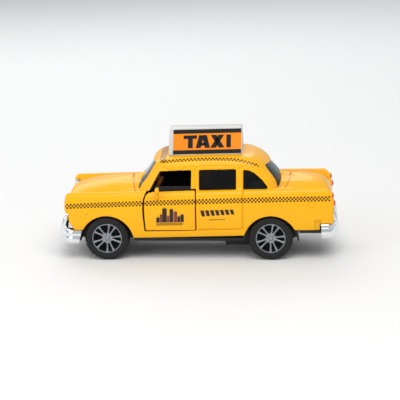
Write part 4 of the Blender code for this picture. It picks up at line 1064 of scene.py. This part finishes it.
def sign_panel(side, mirror):
    """Orange panel with dark borders and the plain word TAXI in straight strokes."""
    shape = Shape(ORANGE, BLACK_INK)

    def strip(low, high, lift, depth):
        slab(shape, ((PANEL_REAR, low), (PANEL_FRONT, low), (PANEL_FRONT, high), (PANEL_REAR, high)),
             lift, depth)

    def x_at(s):
        """Distance along the way the word reads, from the panel's end."""
        return PANEL_REAR + s if mirror else PANEL_FRONT - s

    strip(PANEL_LOW, PANEL_HIGH, 0.06, 0.4)
    shape.use(BLACK_INK)
    strip(PANEL_LOW, PANEL_LOW + 1.6, 0.12, 0.08)
    strip(PANEL_HIGH - 1.65, PANEL_HIGH, 0.12, 0.08)
    for foot, low, head, high, wide in STROKES:
        slab(shape, ((x_at(foot - wide / 2), low), (x_at(foot + wide / 2), low),
                     (x_at(head + wide / 2), high), (x_at(head - wide / 2), high)), 0.16)
    shape.finished("sign_panel_" + side + "_print", "car", "sign_print", "sign_panel_" + side,
                   mirror=mirror)


# ---------------- cabin
SEAT_HALF = 14.4


def seat():
    """Bench seat with rolled edges and stitched flutes, and a tall back."""
    shape = Shape(OCHRE)

    def pad(low, high, thick, flutes):
        """Cushion between two (x, z) lines, swelling between its flutes."""
        steps = 96
        middle = Vector((low[0] + high[0], 0, low[1] + high[1])) / 2
        half = Vector((high[0] - low[0], 0, high[1] - low[1])) / 2
        across = Vector((-half.z, 0, half.x)).normalized()
        rows = []
        for i in range(steps + 1):
            y = SEAT_HALF * (2 * i / steps - 1)
            edge = min(1.0, (SEAT_HALF - abs(y)) / 1.6)
            puff = thick * math.sqrt(max(1 - (1 - edge) ** 2, 0.02))
            puff += 0.28 * edge * abs(math.sin(math.pi * flutes * i / steps)) ** 0.6
            ring = []
            for a in turns(28):
                c, s = math.cos(a), math.sin(a)
                u = math.copysign(abs(c) ** 0.5, c) * (0.96 + 0.04 * edge)
                v = math.copysign(abs(s) ** 0.6, s)
                ring.append(middle + Vector((0, y, 0)) + half * u + across * v * puff)
            rows.append(ring)
        shape.rows(rows)

    pad((-6.0, 17.3), (6.2, 18.0), 1.7, 12)
    pad((-6.6, 19.2), (-9.0, 39.6), 1.5, 12)
    shape.block((-7.5, -13.6, 14.0), (4.8, 13.6, 16.4), 0.5)
    shape.finished("front_seat_bench", "car", "ochre_plastic", "front_seat", sharp=50.0)


def steering():
    """Fat-rimmed wheel with three spokes, a domed horn push and a column."""
    tilt = Matrix.Translation((13.2, 10.0, 33.0)) @ Matrix.Rotation(math.radians(62), 4, "Y")
    shape = Shape(OCHRE)
    outer, thin = 2.1, 0.8
    rows = []
    for a in turns(48):
        out = Vector((math.cos(a), math.sin(a), 0))
        rows.append([tilt @ (out * (outer + thin * math.cos(b)) + Vector((0, 0, thin * math.sin(b))))
                     for b in turns(12)])
    shape.rows(rows, closed=True)
    for a in turns(3):
        turn = tilt @ Matrix.Rotation(math.pi / 2 + a, 4, "Z")
        shape.block((0.3, -0.4, -0.25), (outer, 0.4, 0.25), 0.08, turn)
    for segments, radii, depth, middle in ((24, (0.9, 0.7), 1.2, 0.0), (16, (0.45, 0.45), 5.2, 2.6)):
        part = bmesh.new()
        bmesh.ops.create_cone(part, cap_ends=True, segments=segments, radius1=radii[0],
                              radius2=radii[1], depth=depth)
        bmesh.ops.transform(part, matrix=tilt @ Matrix.Translation((0, 0, middle)), verts=part.verts)
        shape.merge(part)
    shape.finished("steering_wheel_rim", "car", "ochre_plastic", "steering_wheel")


def sill_card(name, body, front, rear, face_y, mirror):
    """Black ribbed trim card that rises just above the window sill inside, darkened as painted shade of
    the cabin seen through the windows.
    """
    # painted shade: the card uses the darkened black so that the cabin reads dark through the windows
    shape = Shape(BLACK_PAINTED_SHADE)
    shape.block((rear, face_y, 27.4), (front, face_y + 0.6, 33.0), 0.25)
    for z in (28.4, 29.2, 30.0):
        shape.block((rear + 1.2, face_y - 0.15, z), (front - 1.2, face_y + 0.1, z + 0.3), 0.1)
    shape.finished(name, body, "black_plastic", mirror=mirror)


def sill_cards(side, mirror):
    sill_card(side + "_door_card", side + "_door_body", 15.2, -2.3, 18.2, mirror)
    sill_card(side + "_rear_card", "car", -5.0, -23.6, 15.9, mirror)


def carried_over():
    """Gives the CAD pieces that stay as they are their procedural finish."""
    for obj in frame["nodes"].values():
        if obj.hide_render:
            continue
        finish = SLOTS[slot_of(obj.material_slots[0].material)]
        for material_slot in obj.material_slots:
            material_slot.material = finish.material


# ---------------- studio
def area_light(name, place, aim, size, power, colour=(1.0, 1.0, 1.0)):
    data = bpy.data.lights.new(name, "AREA")
    data.shape = "RECTANGLE"
    data.size, data.size_y = size
    data.energy = power
    data.color = colour
    obj = linked(name, data)
    obj.location = place
    obj.rotation_euler = (Vector(aim) - Vector(place)).to_track_quat("-Z", "Y").to_euler()


def studio():
    """Pale floor, soft lights and a long-lens camera on the car's left side."""
    floor_mesh = bpy.data.meshes.new("floor")
    reach = 3.0
    corners = [(-reach, -reach, 0), (reach, -reach, 0), (reach, reach, 0), (-reach, reach, 0)]
    floor_mesh.from_pydata(corners, [], [(0, 1, 2, 3)])
    paper = Finish("floor_paper", linear(236, 236, 234), 0.85).grain(60.0, 0.02, 0.0005)
    floor_mesh.materials.append(paper.material)
    linked("floor", floor_mesh)
    backdrop = bpy.data.worlds.new("studio")
    backdrop.use_nodes = True
    sky = backdrop.node_tree.nodes["Background"].inputs
    sky["Color"].default_value = (0.93, 0.95, 1.0, 1.0)
    sky["Strength"].default_value = 0.58
    bpy.context.scene.world = backdrop
    bpy.context.scene.view_settings.view_transform = "Standard"
    area_light("key", (-0.15, 0.45, 0.75), (0.0, 0.0, 0.02), (0.7, 0.5), 3.9, (1.0, 0.98, 0.95))
    area_light("fill", (0.55, 0.5, 0.35), (0.0, 0.0, 0.03), (0.5, 0.5), 1.6)
    area_light("far", (0.2, -0.6, 0.5), (0.0, 0.0, 0.03), (0.8, 0.4), 2.0)
    data = bpy.data.cameras.new("camera")
    data.sensor_width = 36.0
    data.lens = 154.3
    data.clip_start = 0.01
    right = Vector((-0.99860, -0.05126, -0.01287))
    back = Vector((-0.05285, 0.96915, 0.24075))
    placement = Matrix((right, back.cross(right), back)).transposed().to_4x4()
    placement.translation = (-0.0410, 0.7524, 0.2090)
    camera = linked("camera", data)
    camera.matrix_world = placement
    bpy.context.scene.camera = camera


body_pieces()
both_sides(door_prints)
both_sides(rear_door_prints)
wheels()
bumpers()
both_sides(headlamp)
both_sides(tail_lamp)
grille()
both_sides(mirror_piece)
sign_case()
both_sides(sign_panel)
seat()
steering()
both_sides(sill_cards)
carried_over()
studio()
